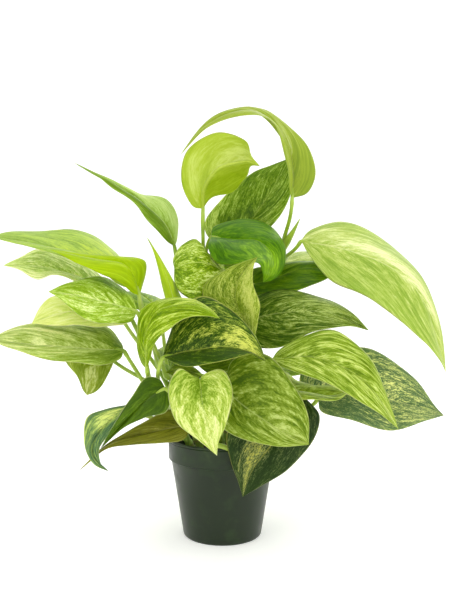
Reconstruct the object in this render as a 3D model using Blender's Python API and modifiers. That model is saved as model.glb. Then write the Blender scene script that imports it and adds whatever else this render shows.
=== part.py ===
"""Potted pothos: a marbled green and cream vine in a small nursery pot.

The frame has +Z up, its origin at the centre of the pot's underside, and the front of the plant
towards -Y. Lengths here are in millimetres, and MM turns them into Blender's metres.

A leaf is one piece, blade and petiole together, because it grew as one. Its blade is a loft from
the left margin over the midrib to the right margin, each a smooth curve through a few points.
"""

from dataclasses import dataclass, field

import bmesh
import bpy
import numpy as np

MM = 0.001
GAP = 0.3

POT_HEIGHT = 74.0
POT_LIP_RADIUS = 41.0
POT_COLLAR_RADIUS = 40.2
POT_COLLAR_HEIGHT = 16.0
POT_NECK_RADIUS = 38.4
POT_BASE_RADIUS = 29.0
POT_WALL = 1.4
POT_FLOOR = 2.0
LIP_ROLL = 1.0
DRAIN_HOLES = 6
DRAIN_RADIUS = 3.0
DRAIN_RING_RADIUS = 19.0
DRAIN_TURN = 0.37  # as a share of the step between holes, so that no hole starts on a facet edge
POT_STEPS = 40

SOIL_EDGE_HEIGHT = 61.0
SOIL_DOME = 2.5

STEM_RADIUS = 2.8
STEM_POINTS = 9
STEM_FOOT = SOIL_EDGE_HEIGHT + SOIL_DOME + GAP

PETIOLE_RADIUS = 1.5
PETIOLE_POINTS = 7
PETIOLE_INTO_BLADE = 7.0

BLADE_THICKNESS = 0.8
BLADE_ROWS = 9
BLADE_HALF_COLUMNS = 2
BLADE_CAMBER = 2.0
VEIN_SWEEP = 1.35

LEAF_TINTS = {
    "lime": (0.36, 0.52, 0.06),
    "green": (0.12, 0.27, 0.03),
    "deep": (0.05, 0.14, 0.06),
    "cream": (0.55, 0.62, 0.22),
    "olive": (0.27, 0.33, 0.06),
}
STEM_TINT = (0.30, 0.42, 0.08)
POT_TINT = (0.012, 0.035, 0.018)
SOIL_TINT = (0.02, 0.012, 0.008)


@dataclass
class Leaf:
    """One leaf: the stem it grows on, how far up that stem, and its blade's three long curves."""

    name: str
    stem: str
    share: float
    tint: str
    midrib: list
    left: list = field(default_factory=list)
    right: list = field(default_factory=list)
    width: float = 0.0


# Each stem's points, from the soil up.
STEMS = {
    "right": [(14, 6, STEM_FOOT), (20, 12, 110), (30, 20, 165), (43, 17, 212)],
    "centre": [(-2, 4, STEM_FOOT), (-6, 10, 100), (-10, 14, 150), (-12, 16, 192)],
    "left": [(-16, -2, STEM_FOOT), (-25, -7, 90), (-34, -13, 112), (-42, -18, 130)],
    "front_left": [(-20, -14, STEM_FOOT), (-30, -22, 84), (-42, -32, 104), (-50, -42, 118)],
    "front": [(0, -20, STEM_FOOT), (-2, -28, 84), (-4, -34, 104), (-6, -38, 120)],
    "front_right": [(16, -14, STEM_FOOT), (24, -20, 84), (32, -26, 104), (38, -30, 122)],
    "back": [(2, 20, STEM_FOOT), (3, 26, 90), (4, 32, 118), (4, 38, 142)],
}

# Points run from the leaf's base to its tip, in whole millimetres. The margins leave out the base
# and the tip, which they share with the midrib. Left and right are as seen on the upper face with
# the tip up.
LEAVES = [
    Leaf(
        "top_arch", "right", 1.0, "lime",
        midrib=[
            (51, -8, 251), (51, -12, 269), (46, -20, 288), (23, -38, 308), (-7, -54, 298), (-28, -62, 275),
        ],
        left=[(48, -16, 258), (46, -26, 273), (35, -40, 299), (15, -54, 303), (-9, -62, 293)],
        right=[(63, -6, 255), (68, -8, 271), (58, -14, 292), (31, -26, 311), (-5, -46, 304)],
    ),
    Leaf(
        "top_spoon", "centre", 0.6, "lime",
        midrib=[(-14, -12, 243), (-12, -22, 258), (-2, -30, 270), (16, -36, 274), (26, -44, 270)],
        left=[(-7, -14, 251), (8, -10, 255), (17, -16, 265), (20, -32, 271)],
        right=[(-22, -12, 245), (-30, -4, 263), (-26, 2, 287), (-5, -4, 299), (16, -22, 291), (20, -38, 278)],
    ),
    Leaf(
        "upper_back", "centre", 1.0, "green",
        midrib=[(4, 28, 213), (19, 38, 232), (36, 44, 256), (53, 42, 286)],
        left=[(-11, 22, 223), (-13, 28, 237), (0, 38, 254), (22, 46, 274), (39, 46, 281)],
        right=[(26, 26, 221), (45, 34, 240), (55, 40, 261), (55, 42, 277)],
    ),
    Leaf(
        "curled", "centre", 0.95, "green",
        midrib=[(-8, -2, 223), (7, -6, 221), (25, -10, 220), (36, -16, 210), (36, -24, 197), (29, -28, 190)],
        left=[(-6, 8, 231), (13, 14, 237), (34, 12, 233), (46, -4, 218), (45, -12, 201), (38, -20, 192)],
        right=[(-10, -24, 214), (-2, -34, 203), (14, -38, 203), (25, -38, 204), (28, -36, 197)],
    ),
    Leaf(
        "right_pale", "right", 0.93, "cream",
        midrib=[(58, -5, 220), (88, -28, 213), (119, -46, 199), (137, -58, 175), (149, -66, 131)],
        left=[(67, 4, 229), (91, 2, 234), (119, -10, 220), (140, -30, 195), (149, -52, 162)],
        right=[(63, -16, 209), (77, -36, 191), (104, -62, 177), (128, -74, 156), (142, -74, 141)],
    ),
    Leaf(
        "left_spear", "centre", 0.75, "green",
        midrib=[(-36, 10, 216), (-41, 5, 230), (-51, 0, 241), (-74, -6, 257), (-107, -14, 276)],
        left=[(-42, 4, 220), (-52, -6, 232), (-66, -12, 248), (-89, -14, 265)],
        right=[(-34, 14, 223), (-34, 16, 238), (-43, 12, 252), (-63, 4, 256), (-86, -6, 266)],
    ),
    Leaf(
        "left_high", "left", 0.98, "lime",
        midrib=[(-61, -18, 184), (-76, -20, 200), (-99, -28, 209), (-127, -36, 216), (-160, -42, 222)],
        left=[(-73, -24, 188), (-87, -40, 200), (-109, -48, 209), (-134, -50, 215)],
        right=[(-69, -6, 197), (-81, 0, 214), (-103, -4, 227), (-132, -14, 227), (-150, -26, 226)],
    ),
    Leaf(
        "left_bright", "left", 1.0, "lime",
        midrib=[(-58, -36, 181), (-61, -40, 195), (-70, -44, 204), (-91, -50, 207), (-116, -56, 213)],
        left=[(-63, -44, 184), (-72, -56, 193), (-87, -62, 199), (-102, -62, 207)],
        right=[(-56, -30, 189), (-53, -28, 202), (-58, -32, 207), (-77, -36, 208), (-99, -42, 210)],
    ),
    Leaf(
        "left_second", "left", 0.7, "cream",
        midrib=[(-81, -10, 179), (-103, -14, 193), (-131, -20, 201), (-156, -24, 202)],
        left=[(-86, -16, 177), (-103, -26, 189), (-119, -30, 195), (-131, -30, 192), (-145, -28, 199)],
        right=[(-88, 2, 191), (-110, 6, 207), (-135, 0, 214), (-148, -16, 207)],
    ),
    Leaf(
        "left_broad", "left", 0.86, "lime",
        midrib=[(-58, -50, 171), (-79, -58, 178), (-98, -64, 183), (-115, -66, 185)],
        left=[(-62, -56, 164), (-78, -68, 164), (-93, -74, 169), (-105, -72, 180)],
        right=[(-63, -42, 181), (-77, -38, 192), (-93, -46, 194), (-107, -60, 189)],
    ),
    Leaf(
        "left_cream", "front_left", 0.8, "cream",
        midrib=[(-65, -24, 164), (-90, -32, 169), (-112, -38, 169), (-132, -42, 162)],
        left=[(-70, -30, 160), (-86, -44, 160), (-107, -48, 161), (-121, -46, 161)],
        right=[(-71, -14, 172), (-97, -10, 179), (-120, -18, 180), (-129, -28, 173)],
    ),
    Leaf(
        "left_low", "front_left", 0.85, "cream",
        midrib=[(-69, -38, 143), (-90, -46, 145), (-118, -56, 148), (-155, -64, 153)],
        left=[(-71, -44, 137), (-84, -56, 135), (-111, -66, 139), (-138, -70, 147)],
        right=[(-72, -30, 148), (-85, -20, 158), (-116, -26, 161), (-140, -42, 161)],
    ),
    Leaf(
        "left_hanging", "left", 0.5, "olive",
        midrib=[(-91, -10, 150), (-92, -16, 135), (-94, -20, 121), (-98, -20, 108)],
        left=[(-79, -10, 146), (-79, -16, 132), (-85, -20, 118), (-91, -22, 111)],
        right=[(-107, -14, 149), (-115, -14, 134), (-105, -18, 121), (-101, -20, 112)],
    ),
    Leaf(
        "front_arch", "front_left", 1.0, "lime",
        midrib=[
            (-50, -64, 133), (-51, -72, 153), (-43, -80, 172),
            (-26, -86, 178), (-11, -90, 176), (-1, -92, 169),
        ],
        left=[
            (-55, -58, 138), (-58, -56, 153), (-55, -60, 172),
            (-39, -66, 180), (-20, -74, 181), (-8, -84, 175),
        ],
        right=[(-47, -72, 142), (-41, -84, 155), (-31, -92, 164), (-20, -96, 170), (-9, -96, 171)],
    ),
    Leaf(
        "spike", "left", 0.45, "lime",
        midrib=[(-29, -30, 153), (-35, -36, 182), (-42, -40, 204), (-52, -42, 222)],
        left=[(-37, -28, 162), (-41, -32, 182), (-47, -38, 209)],
        right=[(-23, -24, 164), (-30, -28, 182), (-41, -36, 204)],
    ),
    Leaf(
        "centre_mottled", "centre", 0.5, "lime",
        midrib=[(6, -20, 194), (-8, -26, 203), (-22, -30, 204), (-34, -28, 200)],
        left=[(3, -26, 183), (-12, -36, 176), (-25, -40, 180), (-33, -36, 189)],
        right=[(-3, -18, 200), (-13, -13, 209), (-19, -9, 221), (-29, -11, 217), (-35, -22, 207)],
    ),
    Leaf(
        "centre_olive", "front", 1.0, "olive",
        midrib=[(22, -58, 154), (14, -54, 167), (9, -50, 180), (12, -50, 195), (24, -54, 208)],
        left=[(7, -50, 158), (-10, -42, 170), (-13, -40, 188), (0, -44, 198), (15, -50, 205)],
        right=[(24, -64, 165), (25, -66, 176), (21, -62, 190), (21, -58, 201)],
    ),
    Leaf(
        "front_folded", "front_left", 0.7, "deep",
        midrib=[(-39, -68, 142), (-18, -76, 147), (7, -84, 150), (28, -92, 142)],
        left=[(-36, -62, 154), (-28, -62, 173), (-11, -64, 182), (9, -72, 171), (23, -84, 155)],
        right=[(-26, -84, 138), (-7, -98, 141), (10, -100, 146), (20, -97, 147)],
    ),
    Leaf(
        "right_dark", "right", 0.6, "green",
        midrib=[(18, 8, 186), (38, 4, 192), (61, -2, 200), (81, -6, 197)],
        left=[(22, 14, 198), (38, 11, 202), (62, 7, 205), (76, 0, 204)],
        right=[(25, 2, 177), (46, -4, 181), (66, -10, 187), (78, -10, 193)],
    ),
    Leaf(
        "right_middle", "right", 0.4, "olive",
        midrib=[(14, -16, 161), (42, -22, 168), (75, -34, 169), (102, -42, 157)],
        left=[(19, -6, 176), (43, -4, 184), (72, -17, 179), (91, -34, 169)],
        right=[(18, -20, 146), (38, -28, 143), (64, -36, 155), (86, -42, 160)],
    ),
    Leaf(
        "right_front", "front_right", 1.0, "lime",
        midrib=[(34, -52, 138), (57, -60, 141), (79, -68, 136), (97, -78, 123), (113, -88, 98)],
        left=[(40, -46, 145), (55, -47, 153), (77, -51, 158), (98, -60, 142), (107, -76, 121)],
        right=[(40, -60, 134), (61, -72, 128), (80, -82, 120), (99, -90, 109)],
    ),
    Leaf(
        "right_speckled", "front_right", 0.5, "deep",
        midrib=[(70, -16, 105), (99, -22, 109), (128, -28, 104), (157, -34, 96)],
        left=[(57, -10, 115), (62, -8, 128), (83, -6, 139), (110, -8, 140), (138, -16, 122), (151, -28, 103)],
        right=[(72, -22, 96), (91, -30, 92), (119, -38, 86), (143, -38, 93)],
    ),
    Leaf(
        "right_crescent", "front_right", 0.75, "lime",
        midrib=[(40, -41, 126), (45, -46, 118), (57, -50, 115), (73, -50, 113), (88, -46, 115)],
        left=[(46, -34, 127), (54, -36, 120), (68, -40, 119), (82, -42, 117)],
        right=[(34, -50, 121), (47, -60, 113), (64, -64, 112), (79, -56, 111)],
    ),
    Leaf(
        "front_heart", "front", 0.65, "cream",
        midrib=[(-14, -86, 130), (-12, -97, 115), (-8, -101, 99), (-3, -98, 83)],
        left=[(-9, -90, 135), (1, -90, 136), (7, -94, 123), (3, -100, 104), (-2, -100, 92)],
        right=[(-20, -88, 133), (-28, -88, 137), (-34, -92, 124), (-29, -98, 105), (-14, -100, 93)],
    ),
    Leaf(
        "front_right", "front", 0.45, "olive",
        midrib=[(1, -66, 121), (13, -73, 111), (27, -79, 102), (41, -83, 94), (56, -85, 87)],
        left=[(8, -64, 140), (30, -66, 143), (48, -72, 123), (56, -80, 105)],
        right=[(-5, -70, 112), (0, -78, 97), (16, -86, 90), (35, -90, 87), (49, -88, 87)],
    ),
    Leaf(
        "pot_front", "front_right", 0.6, "deep",
        midrib=[(56, -42, 111), (45, -52, 93), (31, -57, 77), (20, -58, 62), (14, -56, 44)],
        left=[(62, -42, 106), (68, -45, 97), (62, -51, 81), (46, -56, 64), (27, -57, 52)],
        right=[(34, -47, 111), (12, -54, 102), (3, -58, 87), (6, -59, 69), (11, -58, 55)],
    ),
    Leaf(
        "left_panel", "front_left", 0.55, "green",
        midrib=[(-38, -66, 121), (-50, -68, 113), (-66, -71, 97), (-80, -74, 82)],
        left=[(-34, -66, 114), (-38, -66, 104), (-51, -67, 101), (-65, -71, 95)],
        right=[(-42, -66, 127), (-51, -68, 128), (-59, -70, 117), (-70, -72, 100)],
    ),
    Leaf(
        "left_dark", "front_left", 0.35, "deep",
        midrib=[(-62, -46, 106), (-72, -54, 100), (-84, -62, 88), (-86, -68, 76), (-75, -72, 66)],
        left=[(-66, -50, 98), (-76, -60, 88), (-82, -66, 80), (-80, -71, 70)],
        right=[(-68, -44, 105), (-81, -50, 103), (-92, -58, 99), (-92, -66, 82), (-85, -72, 71)],
    ),
    Leaf(
        "left_olive", "front", 0.25, "olive",
        midrib=[(-22, -48, 92), (-39, -52, 90), (-63, -56, 85), (-81, -58, 77), (-98, -56, 62)],
        left=[(-26, -52, 83), (-42, -56, 81), (-62, -60, 81), (-80, -62, 77)],
        right=[(-25, -42, 100), (-38, -44, 102), (-56, -50, 93), (-75, -54, 82)],
    ),
    Leaf(
        "inner_small", "front", 0.92, "cream",
        midrib=[(-13, -52, 127), (-26, -55, 131), (-38, -57, 130)],
        left=[(-20, -56, 123), (-31, -59, 127)],
        right=[(-19, -50, 132), (-30, -52, 135)],
    ),
    Leaf(
        "inner_middle", "front_right", 0.9, "olive",
        midrib=[(26, -24, 134), (12, -27, 139), (-4, -28, 139), (-20, -28, 133)],
        left=[(20, -28, 124), (6, -31, 122), (-9, -31, 125)],
        right=[(20, -23, 143), (6, -24, 148), (-10, -25, 145)],
    ),
    Leaf("rear_high", "centre", 0.9, "green",
         midrib=[(0, 42, 200), (2, 58, 212), (6, 78, 210), (10, 98, 190)], width=44),
    Leaf("rear_middle", "back", 1.0, "lime",
         midrib=[(5, 50, 152), (7, 75, 158), (9, 100, 146), (12, 122, 118)], width=52),
    Leaf("rear_right_high", "right", 0.8, "cream",
         midrib=[(46, 32, 204), (66, 46, 212), (88, 62, 206), (108, 76, 186)], width=44),
    Leaf("rear_left_high", "left", 0.88, "green",
         midrib=[(-50, 16, 170), (-68, 34, 180), (-86, 52, 176), (-102, 66, 158)], width=42),
    Leaf("rear_left", "back", 0.85, "olive",
         midrib=[(-22, 44, 130), (-30, 64, 138), (-40, 86, 130), (-48, 106, 108)], width=46),
    Leaf("rear_right", "right", 0.28, "lime",
         midrib=[(36, 32, 118), (60, 46, 124), (84, 60, 116), (106, 72, 94)], width=46),
    Leaf("rear_low_right", "back", 0.5, "deep",
         midrib=[(20, 44, 100), (30, 66, 104), (42, 88, 96), (52, 108, 76)], width=46),
    Leaf("rear_low_left", "back", 0.4, "cream",
         midrib=[(-12, 46, 102), (-18, 68, 106), (-26, 90, 98), (-34, 110, 80)], width=46),
]


def unit(vectors):
    """The vectors along the last axis, each at length 1."""
    lengths = np.linalg.norm(vectors, axis=-1, keepdims=True)
    return vectors / np.maximum(lengths, 1e-9)


def along(points, shares):
    """Points at these shares of the length of a Catmull-Rom curve through the given points."""
    p = np.asarray(points, float)
    p = np.vstack([2 * p[0] - p[1], p, 2 * p[-1] - p[-2]])
    a, b, c, d = (p[i : len(p) - 3 + i, None] for i in range(4))
    t = np.linspace(0, 1, 12, endpoint=False)[None, :, None]
    curve = b + 0.5 * t * (c - a + t * (2 * a - 5 * b + 4 * c - d + t * (3 * b - a - 3 * c + d)))
    curve = np.vstack([curve.reshape(-1, 3), p[-2]])
    lengths = np.append(0, np.cumsum(np.linalg.norm(np.diff(curve, axis=0), axis=1)))
    wanted = np.asarray(shares) * lengths[-1]
    return np.stack([np.interp(wanted, lengths, axis) for axis in curve.T], axis=-1)


def plain_margins(leaf):
    """Left and right margin points of a leaf given by its midrib and width, for a heart-shaped blade."""
    stations = np.array([0.04, 0.28, 0.62, 0.88])
    reach = np.array([0.34, 0.5, 0.38, 0.14]) * leaf.width
    spine = along(leaf.midrib, stations)
    forward = unit(along(leaf.midrib, stations + 0.1) - spine)
    side = unit(np.cross(forward, (0, 0, 1)))
    droop = np.outer(reach * 0.25, (0, 0, -1))
    out = reach[:, None] * side
    return spine - out + droop, spine + out + droop


def blade_grid(leaf):
    """The blade's middle surface: a row across for each step from base to tip, left margin to right."""
    left, right = (leaf.left, leaf.right) if leaf.left else plain_margins(leaf)
    base, tip = leaf.midrib[0], leaf.midrib[-1]
    shares = np.linspace(0, 1, BLADE_ROWS)
    spine = along(leaf.midrib, shares**VEIN_SWEEP)
    left_edge = along([base, *left, tip], shares)
    right_edge = along([base, *right, tip], shares)
    forward = unit(np.gradient(spine, axis=0))
    face = unit(np.cross(unit(right_edge - left_edge), forward))
    bulge = BLADE_CAMBER * np.sin(np.pi * shares)[:, None] * face
    columns = []
    for across in np.linspace(-1, 1, 2 * BLADE_HALF_COLUMNS + 1):
        edge = left_edge if across < 0 else right_edge
        out = abs(across)
        columns.append(spine + (edge - spine) * out + bulge * 4 * out * (1 - out))
    return np.stack(columns, axis=1)


def new_material(name, colour, roughness):
    """A plain Principled material."""
    material = bpy.data.materials.new(name)
    material.use_nodes = True
    shader = material.node_tree.nodes["Principled BSDF"]
    shader.inputs["Base Color"].default_value = (*colour, 1)
    shader.inputs["Roughness"].default_value = roughness
    return material


def add_object(name, data, collection, material=None):
    """A named object for this mesh or curve, in a collection."""
    obj = bpy.data.objects.new(name, data)
    collection.objects.link(obj)
    if material:
        data.materials.append(material)
    return obj


def tube(name, points, radii, resolution, collection):
    """A round tube as a curve object, with filled caps. radii are shares of the bevel depth."""
    curve = bpy.data.curves.new(name, "CURVE")
    curve.dimensions = "3D"
    curve.bevel_resolution = resolution
    curve.use_fill_caps = True
    spline = curve.splines.new("POLY")
    spline.points.add(len(points) - 1)
    for point, place, radius in zip(spline.points, points, radii):
        point.co = (*(np.asarray(place) * MM), 1)
        point.radius = radius
    return add_object(name, curve, collection)


def as_mesh(obj):
    """Replaces a curve object with a mesh object whose caps are welded to its sides."""
    evaluated = obj.evaluated_get(bpy.context.evaluated_depsgraph_get())
    mesh = bpy.data.meshes.new_from_object(evaluated)
    solid = bmesh.new()
    solid.from_mesh(mesh)
    bmesh.ops.remove_doubles(solid, verts=solid.verts, dist=1e-6)
    solid.to_mesh(mesh)
    solid.free()
    name, collection = obj.name, obj.users_collection[0]
    place = obj.matrix_world.copy()
    bpy.data.objects.remove(obj)
    solid_obj = add_object(name, mesh, collection)
    solid_obj.matrix_world = place
    return solid_obj


def hide_helper(obj):
    """Marks a cutter or a joined shape, so that it isn't a part of its own."""
    obj.hide_render = True
    obj.display_type = "WIRE"


def add_boolean(obj, other, operation):
    """Cuts or joins another mesh object."""
    boolean = obj.modifiers.new(operation.title(), "BOOLEAN")
    boolean.operation = operation
    boolean.solver = "EXACT"
    boolean.object = other


def turned(name, profile, collection, material):
    """A solid of revolution about Z from (radius, height) points that run down its outer side."""
    mesh = bpy.data.meshes.new(name)
    places = [(radius * MM, 0, height * MM) for radius, height in profile]
    mesh.from_pydata(places, [(i, i + 1) for i in range(len(places) - 1)], [])
    obj = add_object(name, mesh, collection, material)
    screw = obj.modifiers.new("Turn", "SCREW")
    screw.steps = screw.render_steps = POT_STEPS
    screw.use_merge_vertices = True
    screw.merge_threshold = 1e-5
    return obj


def build_pot(parts, cutters):
    """A thin tapered pot with a collar, a rolled lip, and drain holes round a solid centre."""
    collar_foot = POT_HEIGHT - POT_COLLAR_HEIGHT
    inner_neck = POT_NECK_RADIUS - POT_WALL
    inner_lip = POT_COLLAR_RADIUS - POT_WALL
    profile = [
        (0, POT_FLOOR),
        (POT_BASE_RADIUS - POT_WALL, POT_FLOOR),
        (inner_neck, collar_foot + 1.0),
        (inner_lip, collar_foot + 2.6),
        (inner_lip + 0.6, POT_HEIGHT - 0.6),
        (POT_LIP_RADIUS - 0.5, POT_HEIGHT),
        (POT_LIP_RADIUS, POT_HEIGHT - LIP_ROLL),
        (POT_LIP_RADIUS - 0.2, POT_HEIGHT - 2 * LIP_ROLL),
        (POT_COLLAR_RADIUS, collar_foot + 0.6),
        (POT_COLLAR_RADIUS - 0.6, collar_foot),
        (POT_NECK_RADIUS, collar_foot),
        (POT_BASE_RADIUS + 0.3, 1.2),
        (POT_BASE_RADIUS - 1.0, 0),
        (0, 0),
    ]
    pot = turned("nursery_pot", profile, parts, new_material("pot_plastic", POT_TINT, 0.42))
    for index in range(DRAIN_HOLES):
        angle = 2 * np.pi * (index + DRAIN_TURN) / DRAIN_HOLES
        place = (DRAIN_RING_RADIUS * np.cos(angle) * MM, DRAIN_RING_RADIUS * np.sin(angle) * MM, 0)
        bpy.ops.mesh.primitive_cylinder_add(
            vertices=12, radius=DRAIN_RADIUS * MM, depth=4 * POT_FLOOR * MM, location=place
        )
        hole = bpy.context.object
        hole.name = f"drain_hole_{index + 1}"
        for holder in hole.users_collection:
            holder.objects.unlink(hole)
        cutters.objects.link(hole)
        hide_helper(hole)
        add_boolean(pot, hole, "DIFFERENCE")


def wall_radius(height):
    """The inner radius of the pot's tapered wall at a height."""
    rise = (height - POT_FLOOR) / (POT_HEIGHT - POT_COLLAR_HEIGHT + 1.0 - POT_FLOOR)
    inner_base = POT_BASE_RADIUS - POT_WALL
    return inner_base + rise * (POT_NECK_RADIUS - POT_WALL - inner_base)


def build_soil(parts):
    """The plug of potting mix, with a low dome on top."""
    foot = POT_FLOOR + GAP
    shoulder = POT_HEIGHT - POT_COLLAR_HEIGHT
    edge = wall_radius(shoulder) - GAP
    profile = [
        (0, SOIL_EDGE_HEIGHT + SOIL_DOME),
        (edge * 0.55, SOIL_EDGE_HEIGHT + SOIL_DOME * 0.7),
        (edge, SOIL_EDGE_HEIGHT),
        (edge, shoulder),
        (wall_radius(foot) - GAP, foot),
        (0, foot),
    ]
    turned("potting_soil", profile, parts, new_material("potting_mix", SOIL_TINT, 0.95))


def build_stem(name, points, parts, material):
    """One vine, a little thinner towards its top."""
    path = along(points, np.linspace(0, 1, STEM_POINTS))
    stem = tube("stem_" + name, path, np.linspace(1, 0.8, STEM_POINTS), 2, parts)
    stem.data.bevel_depth = STEM_RADIUS * MM
    stem.data.materials.append(material)


def petiole_path(leaf):
    """The petiole's points: off the side of its stem, up in a smooth bend, and into the midrib."""
    node = along(STEMS[leaf.stem], [leaf.share])[0]
    base, inside = along(leaf.midrib, [0, 0.1])
    inside = base + unit(inside - base) * PETIOLE_INTO_BLADE
    outward = unit((base - node) * (1, 1, 0))
    start = node + outward * (STEM_RADIUS + PETIOLE_RADIUS + 1.5 * GAP)
    reach = np.linalg.norm(base - start) * 0.4
    slope = (base - start)[2] / max(np.linalg.norm((base - start)[:2]), 1)
    first = start + reach * unit(outward + (0, 0, max(slope, 0) + 0.4))
    last = base - reach * unit(0.6 * unit(inside - base) + (0, 0, 1))
    t = np.linspace(0, 1, PETIOLE_POINTS)[:, None]
    bend = (
        start * (1 - t) ** 3 + 3 * first * t * (1 - t) ** 2 + 3 * last * t**2 * (1 - t) + base * t**3
    )
    return np.vstack([bend, inside])


def build_leaf(leaf, parts, joined, material):
    """The blade as an open lofted surface with a thickness, joined to its petiole."""
    grid = blade_grid(leaf) * MM
    rows, columns = grid.shape[:2]
    blade = bmesh.new()
    base = blade.verts.new(grid[0, 0])
    tip = blade.verts.new(grid[-1, 0])
    inner = [[blade.verts.new(place) for place in row] for row in grid[1:-1]]
    for column in range(columns - 1):
        blade.faces.new((base, inner[0][column], inner[0][column + 1]))
        blade.faces.new((tip, inner[-1][column + 1], inner[-1][column]))
        for row in range(rows - 3):
            near, far = inner[row], inner[row + 1]
            blade.faces.new((near[column], far[column], far[column + 1], near[column + 1]))
    mesh = bpy.data.meshes.new("leaf_" + leaf.name)
    blade.to_mesh(mesh)
    blade.free()
    mesh.shade_smooth()
    obj = add_object("leaf_" + leaf.name, mesh, parts, material)
    thickness = obj.modifiers.new("Thickness", "SOLIDIFY")
    thickness.thickness = BLADE_THICKNESS * MM
    thickness.offset = 0
    radii = [*np.linspace(1.1, 0.9, PETIOLE_POINTS), 0.55]
    petiole = tube("petiole_" + leaf.name, petiole_path(leaf), radii, 1, joined)
    petiole.data.bevel_depth = PETIOLE_RADIUS * MM
    petiole = as_mesh(petiole)
    hide_helper(petiole)
    add_boolean(obj, petiole, "UNION")


def main():
    """Clears the scene and builds the pot, the soil, the stems and the leaves."""
    for obj in list(bpy.data.objects):
        bpy.data.objects.remove(obj)
    parts = bpy.data.collections.new("potted_pothos")
    joined = bpy.data.collections.new("joined_petioles")
    cutters = bpy.data.collections.new("cutters")
    for collection in (parts, joined, cutters):
        bpy.context.scene.collection.children.link(collection)
    build_pot(parts, cutters)
    build_soil(parts)
    stem_skin = new_material("vine_skin", STEM_TINT, 0.5)
    for name, points in STEMS.items():
        build_stem(name, points, parts, stem_skin)
    tints = {name: new_material("leaf_" + name, tint, 0.38) for name, tint in LEAF_TINTS.items()}
    for leaf in LEAVES:
        build_leaf(leaf, parts, joined, tints[leaf.tint])


if __name__ == "__main__":
    main()
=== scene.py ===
"""The looks of a potted pothos: marbled green and cream leaves, short vines, potting mix and pot.

The frame gives every part's place. This script replaces each plain solid with a fine surface: a
leaf is a loft between its two margins over its midrib, with veins, a wavy edge and a petiole, and
its marbling follows the veins. Lengths in the tables are in millimetres, and MM turns them into
the frame's metres.
"""

from __future__ import annotations

import logging
from dataclasses import dataclass, field
from enum import Enum

import bpy
import numpy as np
from mathutils import Matrix

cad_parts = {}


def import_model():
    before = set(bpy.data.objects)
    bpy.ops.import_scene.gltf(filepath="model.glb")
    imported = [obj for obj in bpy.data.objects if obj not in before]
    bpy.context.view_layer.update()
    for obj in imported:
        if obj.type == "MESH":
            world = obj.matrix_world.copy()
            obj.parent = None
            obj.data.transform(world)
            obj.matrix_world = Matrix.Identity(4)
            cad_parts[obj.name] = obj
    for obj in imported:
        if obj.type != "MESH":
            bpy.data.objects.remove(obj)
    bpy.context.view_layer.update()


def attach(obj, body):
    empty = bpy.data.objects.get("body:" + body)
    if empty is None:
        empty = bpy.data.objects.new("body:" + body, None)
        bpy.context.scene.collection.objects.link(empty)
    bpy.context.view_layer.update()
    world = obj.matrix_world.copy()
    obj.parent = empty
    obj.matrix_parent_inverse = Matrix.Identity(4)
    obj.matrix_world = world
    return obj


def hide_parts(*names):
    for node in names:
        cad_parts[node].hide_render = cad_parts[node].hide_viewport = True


LOG = logging.getLogger("pothos")
MM = 0.001
BODY = "root"

# Large numbers that mix a lattice corner's place and a seed into one that looks random.
CORNER_KEYS = np.array([73856093, 19349663, 83492791])
SEED_KEY = 2654435
MIX_KEY = 1274126177
LOW_BITS = 0x7FFFFFFF
NOISE_LEVELS = 65536

CURVE_STEPS = 12  # between two of a curve's own points

# How far red, green and blue light travel inside green tissue, against each other.
TISSUE_GLOW = (0.8, 1.0, 0.25)

Array = np.ndarray
Point = tuple[float, float, float]


class Tissue(Enum):
    """The record's material slot of a leaf, by the main colour of its blade."""

    LIME = "leaf_lime"
    GREEN = "leaf_green"
    DEEP = "leaf_deep"
    CREAM = "leaf_cream"
    OLIVE = "leaf_olive"


@dataclass(frozen=True)
class Wash:
    """A soft region of a blade that is paler than the rest, or darker where amount is negative.

    along runs from 0 at the base to 1 at the tip, and across from -1 at the left margin to 1 at
    the right one. length and breadth are how far the region reaches.
    """

    along: float
    across: float
    length: float
    breadth: float
    amount: float


@dataclass(frozen=True)
class LeafFinish:
    """How one blade is marbled: four sRGB colours from darkest to palest, and how they mix.

    level is the blade's usual place between them. patches, streaks and flecks are how far each
    size of marbling moves it, and bands is how much paler the side veins are. streak_mm is the
    streaks' width, and stretch how drawn out they are. rib and margin are how pale the midrib and
    the rim are, and gloss is how strongly the skin shines.
    """

    deep: str
    green: str
    lime: str
    pale: str
    level: float = 0.48
    patches: float = 0.60
    streaks: float = 0.38
    flecks: float = 0.26
    streak_mm: float = 2.2
    stretch: float = 1.4
    bands: float = 0.0
    rib: float = 0.4
    margin: float = 0.35
    roughness: float = 0.42
    gloss: float = 0.16
    washes: tuple[Wash, ...] = ()


@dataclass(frozen=True)
class Marbling:
    """One size of marbling.

    gain is how far it moves the tone, width its width in millimetres, stretch how drawn out it is
    along the veins, detail how ragged it is, and edge how soft its edges are.
    """

    gain: float
    width: float
    stretch: float
    detail: float
    edge: float


@dataclass(frozen=True)
class Leaf:
    """One leaf: the vine it grows on, how far up it, and the three long curves of its blade.

    A leaf without margins of its own has a width, in millimetres, and a plain heart shape.
    """

    name: str
    tissue: Tissue
    vine: str
    share: float
    finish: LeafFinish
    midrib: tuple[Point, ...]
    left: tuple[Point, ...] = ()
    right: tuple[Point, ...] = ()
    width: float = 0.0


# ---------------------------------------------------------------- numbers, curves and meshes


def unit(vectors: Array) -> Array:
    """The vectors along the last axis, each at length 1."""
    lengths = np.linalg.norm(vectors, axis=-1, keepdims=True)
    return vectors / np.maximum(lengths, 1e-9)


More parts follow.
